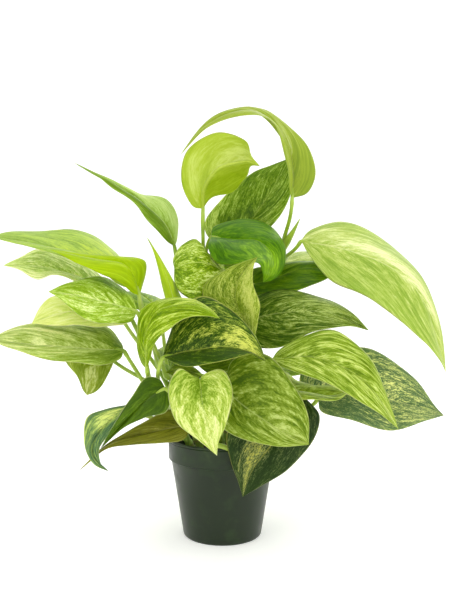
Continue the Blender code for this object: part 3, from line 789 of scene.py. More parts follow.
# Points run from the leaf's base to its tip. The margins leave out the base and the tip, which they
# share with the midrib. Left and right are as seen on the upper face with the tip up.
LEAVES: tuple[Leaf, ...] = (
    Leaf(
        "top_arch", Tissue.LIME, "right", 1.0,
        midrib=(
            (51, -8, 251), (51, -12, 269), (46, -20, 288), (23, -38, 308), (-7, -54, 298),
            (-28, -62, 275),
        ),
        left=((48, -16, 258), (46, -26, 273), (35, -40, 299), (15, -54, 303), (-9, -62, 293)),
        right=((63, -6, 255), (68, -8, 271), (58, -14, 292), (31, -26, 311), (-5, -46, 304)),
        finish=LeafFinish(
            "#708820", "#839828", "#98aa30", "#bcc87e", patches=0.45, streaks=0.2, flecks=0.12,
            washes=(Wash(0.5, 0.2, 0.2, 1.2, 0.2), Wash(0.1, 0.6, 0.3, 0.6, -0.12)),
        ),
    ),
    Leaf(
        "top_spoon", Tissue.LIME, "centre", 0.6,
        midrib=((-14, -12, 243), (-12, -22, 258), (-2, -30, 270), (16, -36, 274), (26, -44, 270)),
        left=((-7, -14, 251), (8, -10, 255), (17, -16, 265), (20, -32, 271)),
        right=(
            (-22, -12, 245), (-30, -4, 263), (-26, 2, 287), (-5, -4, 299), (16, -22, 291),
            (20, -38, 278),
        ),
        finish=LeafFinish(
            "#7c9200", "#90a814", "#a6ba30", "#c4d264", patches=0.26, streaks=0.08, flecks=0.1,
            washes=(
                Wash(0.75, 0.5, 0.3, 0.5, 0.45), Wash(0.35, -0.6, 0.3, 0.4, -0.25),
                Wash(0.25, 0.5, 0.2, 0.4, 0.3),
            ),
        ),
    ),
    Leaf(
        "upper_back", Tissue.GREEN, "centre", 1.0,
        midrib=((4, 28, 213), (19, 38, 232), (36, 44, 256), (53, 42, 286)),
        left=((-11, 22, 223), (-13, 28, 237), (0, 38, 254), (22, 46, 274), (39, 46, 281)),
        right=((26, 26, 221), (45, 34, 240), (55, 40, 261), (55, 42, 277)),
        finish=LeafFinish(
            "#3e5c00", "#567600", "#789622", "#b4c660", level=0.36, streaks=0.3, flecks=0.35, bands=0.1,
            washes=(Wash(0.6, 0.8, 0.5, 0.5, 0.12), Wash(0.3, -0.9, 0.4, 0.25, 0.5)),
        ),
    ),
    Leaf(
        "curled", Tissue.GREEN, "centre", 0.95,
        midrib=(
            (-8, -2, 223), (7, -6, 221), (25, -10, 220), (36, -16, 210), (36, -24, 197), (29, -28, 190),
        ),
        left=(
            (-6, 8, 231), (13, 14, 237), (34, 12, 233), (46, -4, 218), (45, -12, 201), (38, -20, 192),
        ),
        right=((-10, -24, 214), (-2, -34, 203), (14, -38, 203), (25, -38, 204), (28, -36, 197)),
        finish=LeafFinish(
            "#325800", "#467400", "#66920a", "#94bc28", level=0.42, patches=0.5, streaks=0.12,
            flecks=0.06, stretch=0.83, roughness=0.4, gloss=0.1,
            washes=(Wash(0.85, 0.2, 0.25, 0.8, 0.4), Wash(0.2, 0.6, 0.4, 0.6, -0.1)),
        ),
    ),
    Leaf(
        "right_pale", Tissue.CREAM, "right", 0.93,
        midrib=((58, -5, 220), (88, -28, 213), (119, -46, 199), (137, -58, 175), (149, -66, 131)),
        left=((67, 4, 229), (91, 2, 234), (119, -10, 220), (140, -30, 195), (149, -52, 162)),
        right=((63, -16, 209), (77, -36, 191), (104, -62, 177), (128, -74, 156), (142, -74, 141)),
        finish=LeafFinish(
            "#7e9c30", "#96b042", "#b8c864", "#e2e8a4", level=0.43, patches=0.5, streaks=0.2,
            flecks=0.18, rib=0.45, bands=0.06,
            washes=(
                Wash(0.42, -0.3, 0.35, 0.3, 0.45), Wash(0.75, -0.35, 0.25, 0.3, 0.35),
                Wash(0.5, 0.7, 0.5, 0.4, -0.1),
            ),
        ),
    ),
    Leaf(
        "left_spear", Tissue.GREEN, "centre", 0.75,
        midrib=((-36, 10, 216), (-41, 5, 230), (-51, 0, 241), (-74, -6, 257), (-107, -14, 276)),
        left=((-42, 4, 220), (-52, -6, 232), (-66, -12, 248), (-89, -14, 265)),
        right=((-34, 14, 223), (-34, 16, 238), (-43, 12, 252), (-63, 4, 256), (-86, -6, 266)),
        finish=LeafFinish(
            "#5e7e0c", "#7c9a22", "#9ab850", "#c0d47e", patches=0.3, streaks=0.2, flecks=0.2, rib=0.7,
            washes=(Wash(0.35, 0.55, 0.6, 0.5, 0.45), Wash(0.35, -0.55, 0.6, 0.5, -0.5)),
        ),
    ),
    Leaf(
        "left_high", Tissue.LIME, "left", 0.98,
        midrib=((-61, -18, 184), (-76, -20, 200), (-99, -28, 209), (-127, -36, 216), (-160, -42, 222)),
        left=((-73, -24, 188), (-87, -40, 200), (-109, -48, 209), (-134, -50, 215)),
        right=((-69, -6, 197), (-81, 0, 214), (-103, -4, 227), (-132, -14, 227), (-150, -26, 226)),
        finish=LeafFinish(
            "#7c9a2e", "#98b64c", "#b2ca50", "#c8d84e", level=0.32, streaks=0.2, flecks=0.25,
            washes=(Wash(0.12, 0, 0.3, 1.2, 0.55),),
        ),
    ),
    Leaf(
        "left_bright", Tissue.LIME, "left", 1.0,
        midrib=((-58, -36, 181), (-61, -40, 195), (-70, -44, 204), (-91, -50, 207), (-116, -56, 213)),
        left=((-63, -44, 184), (-72, -56, 193), (-87, -62, 199), (-102, -62, 207)),
        right=((-56, -30, 189), (-53, -28, 202), (-58, -32, 207), (-77, -36, 208), (-99, -42, 210)),
        finish=LeafFinish(
            "#82a000", "#94b200", "#a4c008", "#bed82c", level=0.45, patches=0.45, streaks=0.1,
            flecks=0.08, roughness=0.4, gloss=0.1,
        ),
    ),
    Leaf(
        "left_second", Tissue.CREAM, "left", 0.7,
        midrib=((-81, -10, 179), (-103, -14, 193), (-131, -20, 201), (-156, -24, 202)),
        left=((-86, -16, 177), (-103, -26, 189), (-119, -30, 195), (-131, -30, 192), (-145, -28, 199)),
        right=((-88, 2, 191), (-110, 6, 207), (-135, 0, 214), (-148, -16, 207)),
        finish=LeafFinish(
            "#98b43c", "#bcd06a", "#dae888", "#fafcc8", level=0.5, patches=0.9, flecks=0.4, bands=0.1,
            washes=(Wash(0.6, -0.9, 0.4, 0.3, 0.3),),
        ),
    ),
    Leaf(
        "left_broad", Tissue.LIME, "left", 0.86,
        midrib=((-58, -50, 171), (-79, -58, 178), (-98, -64, 183), (-115, -66, 185)),
        left=((-62, -56, 164), (-78, -68, 164), (-93, -74, 169), (-105, -72, 180)),
        right=((-63, -42, 181), (-77, -38, 192), (-93, -46, 194), (-107, -60, 189)),
        finish=LeafFinish(
            "#72940a", "#8eae24", "#b0cc4e", "#e6f2a4", level=0.42, patches=0.65, streaks=0.3,
            flecks=0.35, bands=0.14, rib=0.6,
            washes=(Wash(0.6, -0.6, 0.5, 0.5, 0.15), Wash(0.3, 0.6, 0.3, 0.4, -0.2)),
        ),
    ),
    Leaf(
        "left_cream", Tissue.CREAM, "front_left", 0.8,
        midrib=((-65, -24, 164), (-90, -32, 169), (-112, -38, 169), (-132, -42, 162)),
        left=((-70, -30, 160), (-86, -44, 160), (-107, -48, 161), (-121, -46, 161)),
        right=((-71, -14, 172), (-97, -10, 179), (-120, -18, 180), (-129, -28, 173)),
        finish=LeafFinish(
            "#b6c65a", "#d8e476", "#e8ee96", "#fafccc", level=0.5, patches=0.5, streaks=0.2,
            flecks=0.15,
        ),
    ),
    Leaf(
        "left_low", Tissue.CREAM, "front_left", 0.85,
        midrib=((-69, -38, 143), (-90, -46, 145), (-118, -56, 148), (-155, -64, 153)),
        left=((-71, -44, 137), (-84, -56, 135), (-111, -66, 139), (-138, -70, 147)),
        right=((-72, -30, 148), (-85, -20, 158), (-116, -26, 161), (-140, -42, 161)),
        finish=LeafFinish(
            "#587606", "#849c2e", "#b6c66a", "#ecf0aa", level=0.45, patches=0.5, streaks=0.12,
            flecks=0.18, stretch=2.08,
            washes=(
                Wash(0.08, 0, 0.22, 1, -0.35), Wash(0.75, 0.6, 0.4, 0.6, 0.25),
                Wash(0.6, -0.6, 0.5, 0.5, 0.12),
            ),
        ),
    ),
    Leaf(
        "left_hanging", Tissue.OLIVE, "left", 0.5,
        midrib=((-91, -10, 150), (-92, -16, 135), (-94, -20, 121), (-98, -20, 108)),
        left=((-79, -10, 146), (-79, -16, 132), (-85, -20, 118), (-91, -22, 111)),
        right=((-107, -14, 149), (-115, -14, 134), (-105, -18, 121), (-101, -20, 112)),
        finish=LeafFinish(
            "#688004", "#7a8e1c", "#96a636", "#ced488", level=0.38, patches=0.7, streaks=0.2,
            flecks=0.2,
            washes=(Wash(0.9, 0, 0.2, 0.8, 0.5),),
        ),
    ),
    Leaf(
        "front_arch", Tissue.LIME, "front_left", 1.0,
        midrib=(
            (-50, -64, 133), (-51, -72, 153), (-43, -80, 172), (-26, -86, 178), (-11, -90, 176),
            (-1, -92, 169),
        ),
        left=(
            (-55, -58, 138), (-58, -56, 153), (-55, -60, 172), (-39, -66, 180), (-20, -74, 181),
            (-8, -84, 175),
        ),
        right=((-47, -72, 142), (-41, -84, 155), (-31, -92, 164), (-20, -96, 170), (-9, -96, 171)),
        finish=LeafFinish(
            "#507000", "#6c8a00", "#8caa10", "#ccdc6c", level=0.4, streaks=0.3, flecks=0.35, bands=0.1,
            margin=0.8, rib=0.2, gloss=0.1,
            washes=(Wash(0.85, -0.7, 0.3, 0.5, 0.5), Wash(0.3, 0.5, 0.4, 0.4, 0.1)),
        ),
    ),
    Leaf(
        "spike", Tissue.LIME, "left", 0.45,
        midrib=((-29, -30, 153), (-35, -36, 182), (-42, -40, 204), (-52, -42, 222)),
        left=((-37, -28, 162), (-41, -32, 182), (-47, -38, 209)),
        right=((-23, -24, 164), (-30, -28, 182), (-41, -36, 204)),
        finish=LeafFinish(
            "#9aba14", "#a8c41e", "#b4ce30", "#d0dc8c", level=0.45, patches=0.3, streaks=0.12,
            flecks=0.1,
        ),
    ),
    Leaf(
        "centre_mottled", Tissue.LIME, "centre", 0.5,
        midrib=((6, -20, 194), (-8, -26, 203), (-22, -30, 204), (-34, -28, 200)),
        left=((3, -26, 183), (-12, -36, 176), (-25, -40, 180), (-33, -36, 189)),
        right=((-3, -18, 200), (-13, -13, 209), (-19, -9, 221), (-29, -11, 217), (-35, -22, 207)),
        finish=LeafFinish(
            "#527600", "#749400", "#9ab622", "#d0de80", level=0.4, patches=0.8, streaks=0.35,
            flecks=0.5, stretch=0.94,
            washes=(Wash(0.5, 0.8, 0.6, 0.4, 0.3), Wash(0.05, 0, 0.3, 1, 0.35)),
        ),
    ),
    Leaf(
        "centre_olive", Tissue.OLIVE, "front", 1.0,
        midrib=((22, -58, 154), (14, -54, 167), (9, -50, 180), (12, -50, 195), (24, -54, 208)),
        left=((7, -50, 158), (-10, -42, 170), (-13, -40, 188), (0, -44, 198), (15, -50, 205)),
        right=((24, -64, 165), (25, -66, 176), (21, -62, 190), (21, -58, 201)),
        finish=LeafFinish(
            "#4c6600", "#6e8812", "#96a834", "#c0c864", level=0.44, patches=0.5, streaks=0.4,
            flecks=0.5, stretch=1.56, streak_mm=1.69, margin=0.7, rib=0.2,
            washes=(Wash(0.5, 0.7, 0.5, 0.3, 0.3),),
        ),
    ),
    Leaf(
        "front_folded", Tissue.DEEP, "front_left", 0.7,
        midrib=((-39, -68, 142), (-18, -76, 147), (7, -84, 150), (28, -92, 142)),
        left=((-36, -62, 154), (-28, -62, 173), (-11, -64, 182), (9, -72, 171), (23, -84, 155)),
        right=((-26, -84, 138), (-7, -98, 141), (10, -100, 146), (20, -97, 147)),
        finish=LeafFinish(
            "#2a4404", "#44620a", "#82982c", "#d2d860", level=0.26, patches=0.8, streaks=0.5,
            flecks=0.5, stretch=1.35, margin=0.8,
            washes=(
                Wash(0.82, -0.25, 0.16, 0.4, 0.75), Wash(0.45, -0.2, 0.18, 0.3, 0.3),
                Wash(0.5, 0.65, 0.7, 0.35, -0.35),
            ),
        ),
    ),
    Leaf(
        "right_dark", Tissue.GREEN, "right", 0.6,
        midrib=((18, 8, 186), (38, 4, 192), (61, -2, 200), (81, -6, 197)),
        left=((22, 14, 198), (38, 11, 202), (62, 7, 205), (76, 0, 204)),
        right=((25, 2, 177), (46, -4, 181), (66, -10, 187), (78, -10, 193)),
        finish=LeafFinish(
            "#305200", "#446800", "#5e8000", "#84a028", level=0.44, streaks=0.3, flecks=0.2,
            washes=(Wash(0.5, -0.8, 0.6, 0.3, 0.3),),
        ),
    ),
    Leaf(
        "right_middle", Tissue.OLIVE, "right", 0.4,
        midrib=((14, -16, 161), (42, -22, 168), (75, -34, 169), (102, -42, 157)),
        left=((19, -6, 176), (43, -4, 184), (72, -17, 179), (91, -34, 169)),
        right=((18, -20, 146), (38, -28, 143), (64, -36, 155), (86, -42, 160)),
        finish=LeafFinish(
            "#2e4a00", "#4e6c06", "#7a9030", "#b4c46c", level=0.4, bands=0.1, patches=0.7, streaks=0.4,
            flecks=0.3,
            washes=(Wash(0.8, 0, 0.35, 1, 0.3), Wash(0.15, 0, 0.25, 1, -0.25)),
        ),
    ),
    Leaf(
        "right_front", Tissue.LIME, "front_right", 1.0,
        midrib=((34, -52, 138), (57, -60, 141), (79, -68, 136), (97, -78, 123), (113, -88, 98)),
        left=((40, -46, 145), (55, -47, 153), (77, -51, 158), (98, -60, 142), (107, -76, 121)),
        right=((40, -60, 134), (61, -72, 128), (80, -82, 120), (99, -90, 109)),
        finish=LeafFinish(
            "#587404", "#7a961a", "#a4ba44", "#d2de80", level=0.42, patches=0.85, streaks=0.28,
            flecks=0.25, bands=0.06, margin=0.8, rib=0.2,
            washes=(Wash(0.85, 0, 0.25, 1, 0.2),),
        ),
    ),
    Leaf(
        "right_speckled", Tissue.DEEP, "front_right", 0.5,
        midrib=((70, -16, 105), (99, -22, 109), (128, -28, 104), (157, -34, 96)),
        left=(
            (57, -10, 115), (62, -8, 128), (83, -6, 139), (110, -8, 140), (138, -16, 122),
            (151, -28, 103),
        ),
        right=((72, -22, 96), (91, -30, 92), (119, -38, 86), (143, -38, 93)),
        finish=LeafFinish(
            "#567044", "#6a8458", "#aab866", "#e8ea94", level=0.1, patches=0.7, streaks=0.6, flecks=0.8,
            stretch=1.04, margin=0.1,
            washes=(Wash(0.55, -0.5, 0.35, 0.45, 0.4), Wash(0.8, 0.5, 0.2, 0.6, 0.3)),
        ),
    ),
    Leaf(
        "right_crescent", Tissue.LIME, "front_right", 0.75,
        midrib=((40, -41, 126), (45, -46, 118), (57, -50, 115), (73, -50, 113), (88, -46, 115)),
        left=((46, -34, 127), (54, -36, 120), (68, -40, 119), (82, -42, 117)),
        right=((34, -50, 121), (47, -60, 113), (64, -64, 112), (79, -56, 111)),
        finish=LeafFinish("#607c0c", "#8ea42c", "#b4c84c", "#d6e680", level=0.46, margin=0.7),
    ),
    Leaf(
        "front_heart", Tissue.CREAM, "front", 0.65,
        midrib=((-14, -86, 130), (-12, -97, 115), (-8, -101, 99), (-3, -98, 83)),
        left=((-9, -90, 135), (1, -90, 136), (7, -94, 123), (3, -100, 104), (-2, -100, 92)),
        right=((-20, -88, 133), (-28, -88, 137), (-34, -92, 124), (-29, -98, 105), (-14, -100, 93)),
        finish=LeafFinish(
            "#64860a", "#8eaa2e", "#bccc5e", "#e2eaa0", level=0.5, patches=0.5, streaks=0.22,
            flecks=0.35, stretch=0.94, margin=0.5, rib=0.15,
            washes=(Wash(0.12, 0, 0.26, 0.45, -0.6), Wash(0.9, 0, 0.3, 1, 0.4)),
        ),
    ),
    Leaf(
        "front_right", Tissue.OLIVE, "front", 0.45,
        midrib=((1, -66, 121), (13, -73, 111), (27, -79, 102), (41, -83, 94), (56, -85, 87)),
        left=((8, -64, 140), (30, -66, 143), (48, -72, 123), (56, -80, 105)),
        right=((-5, -70, 112), (0, -78, 97), (16, -86, 90), (35, -90, 87), (49, -88, 87)),
        finish=LeafFinish(
            "#425e06", "#627c08", "#8ca236", "#bccb72", level=0.43, patches=0.55, streaks=0.25,
            flecks=0.22, bands=0.3, margin=0.9, rib=0.55,
            washes=(
                Wash(0.3, 0.5, 0.4, 0.5, -0.2), Wash(0.3, -0.6, 0.3, 0.5, -0.15),
                Wash(0.75, 0.1, 0.4, 1, 0.16),
            ),
        ),
    ),
    Leaf(
        "pot_front", Tissue.DEEP, "front_right", 0.6,
        midrib=((56, -42, 111), (45, -52, 93), (31, -57, 77), (20, -58, 62), (14, -56, 44)),
        left=((62, -42, 106), (68, -45, 97), (62, -51, 81), (46, -56, 64), (27, -57, 52)),
        right=((34, -47, 111), (12, -54, 102), (3, -58, 87), (6, -59, 69), (11, -58, 55)),
        finish=LeafFinish(
            "#1a3002", "#324816", "#707c46", "#bcba4c", level=0.08, patches=0.4, streaks=0.35,
            flecks=0.5, streak_mm=1.82, stretch=1.35,
            washes=(Wash(0.72, 0.25, 0.4, 0.3, 0.5), Wash(0.8, 0.5, 0.25, 0.4, 0.25)),
        ),
    ),
    Leaf(
        "left_panel", Tissue.GREEN, "front_left", 0.55,
        midrib=((-38, -66, 121), (-50, -68, 113), (-66, -71, 97), (-80, -74, 82)),
        left=((-34, -66, 114), (-38, -66, 104), (-51, -67, 101), (-65, -71, 95)),
        right=((-42, -66, 127), (-51, -68, 128), (-59, -70, 117), (-70, -72, 100)),
        finish=LeafFinish(
            "#2e4800", "#405e00", "#5a7a08", "#c4ce84", level=0.36, patches=0.4, streaks=0.08,
            flecks=0.2, stretch=0.83, rib=0.1, margin=1.0,
        ),
    ),
    Leaf(
        "left_dark", Tissue.DEEP, "front_left", 0.35,
        midrib=((-62, -46, 106), (-72, -54, 100), (-84, -62, 88), (-86, -68, 76), (-75, -72, 66)),
        left=((-66, -50, 98), (-76, -60, 88), (-82, -66, 80), (-80, -71, 70)),
        right=((-68, -44, 105), (-81, -50, 103), (-92, -58, 99), (-92, -66, 82), (-85, -72, 71)),
        finish=LeafFinish(
            "#3e6038", "#5e7e50", "#94ae54", "#dee884", level=0.3, patches=0.5, streaks=0.2, flecks=0.3,
            stretch=0.83, rib=0.2, margin=1.0,
            washes=(Wash(0.4, 0.2, 0.2, 0.35, 0.7),),
        ),
    ),
    Leaf(
        "left_olive", Tissue.OLIVE, "front", 0.25,
        midrib=((-22, -48, 92), (-39, -52, 90), (-63, -56, 85), (-81, -58, 77), (-98, -56, 62)),
        left=((-26, -52, 83), (-42, -56, 81), (-62, -60, 81), (-80, -62, 77)),
        right=((-25, -42, 100), (-38, -44, 102), (-56, -50, 93), (-75, -54, 82)),
        # Its dull olive colours are painted shade: they are how this leaf looks in shade, low by the
        # rim.
        finish=LeafFinish(
            "#464c06", "#646810", "#7a7c18", "#a8a860", level=0.44, patches=0.5, streaks=0.2,
            flecks=0.15,
            washes=(Wash(1, 0, 0.25, 1, 0.6),),
        ),
    ),
    Leaf(
        "inner_small", Tissue.CREAM, "front", 0.92,
        midrib=((-13, -52, 127), (-26, -55, 131), (-38, -57, 130)),
        left=((-20, -56, 123), (-31, -59, 127)),
        right=((-19, -50, 132), (-30, -52, 135)),
        finish=LeafFinish("#4e6800", "#607800", "#76901a", "#a8b85e", level=0.36),
    ),
    Leaf(
        "inner_middle", Tissue.OLIVE, "front_right", 0.9,
        midrib=((26, -24, 134), (12, -27, 139), (-4, -28, 139), (-20, -28, 133)),
        left=((20, -28, 124), (6, -31, 122), (-9, -31, 125)),
        right=((20, -23, 143), (6, -24, 148), (-10, -25, 145)),
        finish=LeafFinish("#3c5400", "#526c02", "#6e8812", "#a2b258", level=0.38),
    ),
    Leaf(
        "rear_high", Tissue.GREEN, "centre", 0.9,
        midrib=((0, 42, 200), (2, 58, 212), (6, 78, 210), (10, 98, 190)),
        width=44,
        finish=LeafFinish("#466604", "#5a7a02", "#7a9a18", "#aec44e", level=0.4),
    ),
    Leaf(
        "rear_middle", Tissue.LIME, "back", 1.0,
        midrib=((5, 50, 152), (7, 75, 158), (9, 100, 146), (12, 122, 118)),
        width=52,
        finish=LeafFinish("#668a08", "#80a214", "#a6c23c", "#d6e68c", level=0.43),
    ),
    Leaf(
        "rear_right_high", Tissue.CREAM, "right", 0.8,
        midrib=((46, 32, 204), (66, 46, 212), (88, 62, 206), (108, 76, 186)),
        width=44,
        finish=LeafFinish("#82a034", "#a2ba4c", "#c4d470", "#eaeeac", level=0.46),
    ),
    Leaf(
        "rear_left_high", Tissue.GREEN, "left", 0.88,
        midrib=((-50, 16, 170), (-68, 34, 180), (-86, 52, 176), (-102, 66, 158)),
        width=42,
        finish=LeafFinish("#5e8400", "#789c00", "#98b81a", "#c6d864", level=0.42),
    ),
    Leaf(
        "rear_left", Tissue.OLIVE, "back", 0.85,
        midrib=((-22, 44, 130), (-30, 64, 138), (-40, 86, 130), (-48, 106, 108)),
        width=46,
        finish=LeafFinish("#3c5800", "#547200", "#7e962c", "#b8c868", level=0.42),
    ),
    Leaf(
        "rear_right", Tissue.LIME, "right", 0.28,
        midrib=((36, 32, 118), (60, 46, 124), (84, 60, 116), (106, 72, 94)),
        width=46,
        finish=LeafFinish("#587808", "#789a1a", "#9eba3e", "#d2e288", level=0.42),
    ),
    Leaf(
        "rear_low_right", Tissue.DEEP, "back", 0.5,
        midrib=((20, 44, 100), (30, 66, 104), (42, 88, 96), (52, 108, 76)),
        width=46,
        finish=LeafFinish(
            "#26400c", "#3e5c16", "#768a36", "#c6ca68", level=0.22, streaks=0.5, flecks=0.5,
        ),
    ),
    Leaf(
        "rear_low_left", Tissue.CREAM, "back", 0.4,
        midrib=((-12, 46, 102), (-18, 68, 106), (-26, 90, 98), (-34, 110, 80)),
        width=46,
        finish=LeafFinish("#789626", "#9cb63e", "#c0d668", "#ecf2ac", level=0.46),
    ),
)


def plain_margins(leaf: Leaf) -> tuple[Array, Array]:
    """Margins of a plain heart shape, widest at a quarter of its length and drooping at both sides.

    Args:
        leaf: a leaf given by its midrib and width.

    Returns:
        The left and the right margin, without base and tip.
    """
    stations = np.array([0.04, 0.28, 0.62, 0.88])
    reach = np.array([0.34, 0.5, 0.38, 0.14]) * leaf.width
    spine = along(leaf.midrib, stations)
    forward = unit(along(leaf.midrib, stations + 0.1) - spine)
    side = unit(np.cross(forward, (0, 0, 1)))
    droop = np.outer(reach * 0.25, (0, 0, -1))
    out = reach[:, None] * side
    return spine - out + droop, spine + out + droop


@dataclass
class Blade:
    """The flat part of a leaf, as a fine loft with its veins and thickness. Sizes are in mm."""

    leaf: Leaf
    seed: int
    rows: int = 90
    columns: int = 49
    camber: float = 2.0
    vein_sweep: float = 1.35
    vein_count: int = 9
    vein_relief: float = 0.14
    groove: float = 0.45
    rib_width: float = 1.0
    rib_height: float = 0.9
    wave: float = 0.7
    thickness: float = 0.5
    furrow_width: float = 0.13
    band_width: float = 0.16
    vein_lean: float = 0.26
    vein_bow: float = 0.28
    wave_turns: float = 2.6
    lump: float = 0.5
    lump_mm: float = 11.0
    blotches: float = 0.16
    blotch_mm: float = 9.0
    blotch_squash: float = 0.6
    blotch_seed: int = 50
    smoothing: int = 2
    face_smoothing: int = 6

    def __post_init__(self) -> None:
        """Works out the grid: u from base to tip, v from margin to margin, closer at the midrib."""
        side = np.linspace(-1, 1, self.columns)
        across = np.sign(side) * (0.45 * np.abs(side) + 0.55 * side**2)
        self.u, self.v = np.meshgrid(np.linspace(0, 1, self.rows), across, indexing="ij")
        leaf = self.leaf
        left, right = (leaf.left, leaf.right) if leaf.left else plain_margins(leaf)
        base, tip = leaf.midrib[0], leaf.midrib[-1]
        shares = self.u[:, 0]
        self.spine = smoothed(along(leaf.midrib, shares**self.vein_sweep), self.smoothing)
        self.left = smoothed(along(np.vstack([base, left, tip]), shares), self.smoothing)
        self.right = smoothed(along(np.vstack([base, right, tip]), shares), self.smoothing)
        self.half_width = 0.5 * np.linalg.norm(self.right - self.left, axis=1)
        self.length = float(np.linalg.norm(np.diff(self.spine, axis=0), axis=1).sum())

    def vein_line(self) -> Array:
        """A coordinate that stays the same along each side vein, which sweeps towards the tip."""
        out = np.abs(self.v)
        return self.u - self.vein_lean * out - self.vein_bow * out**2

    def near_vein(self, width: float) -> Array:
        """1 on each side vein and 0 between them, for veins of this share of their spacing."""
        phase = self.vein_line() * self.vein_count + 0.5 * (self.v > 0)
        return np.exp(-(((phase % 1 - 0.5) / width) ** 2))

    def surface(self) -> Array:
        """The blade's middle surface.

        Each half is a straight line from midrib to margin, raised along the face's normal by
        camber * 4a(1 - a) sin(pi u), where a is the share of the way out. On it lie a groove
        along the midrib, shallow furrows along the side veins, a slow wave of the margin, and
        soft lumps.

        Returns:
            Its points, row by row.
        """
        forward = unit(np.gradient(self.spine, axis=0))
        face = unit(np.cross(unit(self.right - self.left), forward))
        face = unit(smoothed(face, self.face_smoothing))
        out = np.abs(self.v)
        edge = np.where(self.v[..., None] < 0, self.left[:, None], self.right[:, None])
        points = self.spine[:, None] + (edge - self.spine[:, None]) * out[..., None]
        swell = np.sin(np.pi * self.u)
        lift = self.camber * 4 * out * (1 - out) * swell
        reach = out * self.half_width[:, None]
        groove = self.groove * np.exp(-((reach / self.rib_width) ** 2)) * (1 - self.u) ** 0.5
        lift -= groove * np.minimum(20 * self.u, 1)
        furrow = self.vein_relief * self.near_vein(self.furrow_width) * np.sqrt(swell)
        lift -= furrow * np.minimum(6 * out, 1) * np.minimum(5 * (1 - out), 1)
        turn = 2 * np.pi * (self.wave_turns * self.u + 0.37 * self.seed + 0.25 * np.sign(self.v))
        lift += self.wave * out**3 * np.sin(turn) * swell
        place = np.stack([self.u * self.length, reach * np.sign(self.v)], axis=-1)
        lift += self.lump * value_noise(place, self.lump_mm, self.seed) * swell
        return points + lift[..., None] * face[:, None]

    def paleness(self) -> Array:
        """How pale the blade is, from its finish's level, washes and side veins, and soft blotches.

        Returns:
            A value for each point of the grid, from 0 for darkest to 1 for palest.
        """
        finish = self.leaf.finish
        tone = np.full(self.u.shape, finish.level)
        for wash in finish.washes:
            far = ((self.u - wash.along) / wash.length) ** 2
            far = far + ((self.v - wash.across) / wash.breadth) ** 2
            tone += wash.amount * np.exp(-far)
        tone += finish.bands * self.near_vein(self.band_width)
        out = self.v * self.half_width.max() * self.blotch_squash
        place = np.stack([self.vein_line() * self.length, out], axis=-1)
        noise = value_noise(place, self.blotch_mm, self.seed + self.blotch_seed)
        return tone + self.blotches * noise

    def add_to(self, surface: Surface) -> None:
        """Adds the blade to a surface: upper and lower skins that meet at the margins.

        The lower skin has the midrib's ridge, which thins out towards the tip.

        Args:
            surface: the leaf's surface.
        """
        middle = self.surface()
        normal = unit(np.cross(np.gradient(middle, axis=1), np.gradient(middle, axis=0)))
        out = np.abs(self.v)
        half = 0.5 * self.thickness * np.sqrt(np.maximum(1 - out**6, 0))
        half = half * np.minimum(30 * (1 - self.u), 1)
        reach = out * self.half_width[:, None]
        ridge = self.rib_height * np.exp(-((reach / self.rib_width) ** 2)) * (1 - self.u) ** 0.8
        upper = (middle + normal * half[..., None])[1:-1]
        lower = (middle - normal * (half + ridge * np.minimum(12 * self.u, 1))[..., None])[1:-1]
        rows, columns = self.rows - 2, self.columns
        top = np.arange(rows * columns).reshape(rows, columns)
        under = np.arange(rows * (columns - 2)).reshape(rows, columns - 2) + rows * columns
        under = np.hstack([top[:, :1], under, top[:, -1:]])
        base = rows * columns + rows * (columns - 2)
        tip = base + 1
        quads, fans = [], []
        for index, flip in ((top, False), (under, True)):
            corners = [index[:-1, :-1], index[:-1, 1:], index[1:, 1:], index[1:, :-1]]
            near = [np.full(columns - 1, base), index[0, 1:], index[0, :-1]]
            far = [index[-1, :-1], index[-1, 1:], np.full(columns - 1, tip)]
            if flip:
                corners, near, far = corners[::-1], near[::-1], far[::-1]
            quads.append(np.stack(corners, axis=-1).reshape(-1, 4))
            fans += [np.stack(near, axis=-1), np.stack(far, axis=-1)]

        def stacked(over: Array, below: Array, ends: Array) -> Array:
            """Per-point values in the order of the mesh's points.

            Args:
                over: the upper skin's values, row by row.
                below: the lower skin's, whose margins are left out.
                ends: the base's and the tip's.

            Returns:
                All of them, one row a point.
            """
            shape = (-1, *over.shape[2:])
            return np.concatenate([over.reshape(shape), below[:, 1:-1].reshape(shape), ends])

        points = stacked(upper, lower, middle[[0, -1], columns // 2])
        veins = np.stack([self.vein_line(), self.v], axis=-1)
        veins = stacked(veins[1:-1], veins[1:-1], np.array([[0, 0], [1, 0]]))
        pale = self.paleness()
        pale = stacked(pale[1:-1], pale[1:-1], pale[[0, -1], columns // 2])
        surface.add(points, [*quads, *fans], slot=0, veins=veins, paleness=pale)


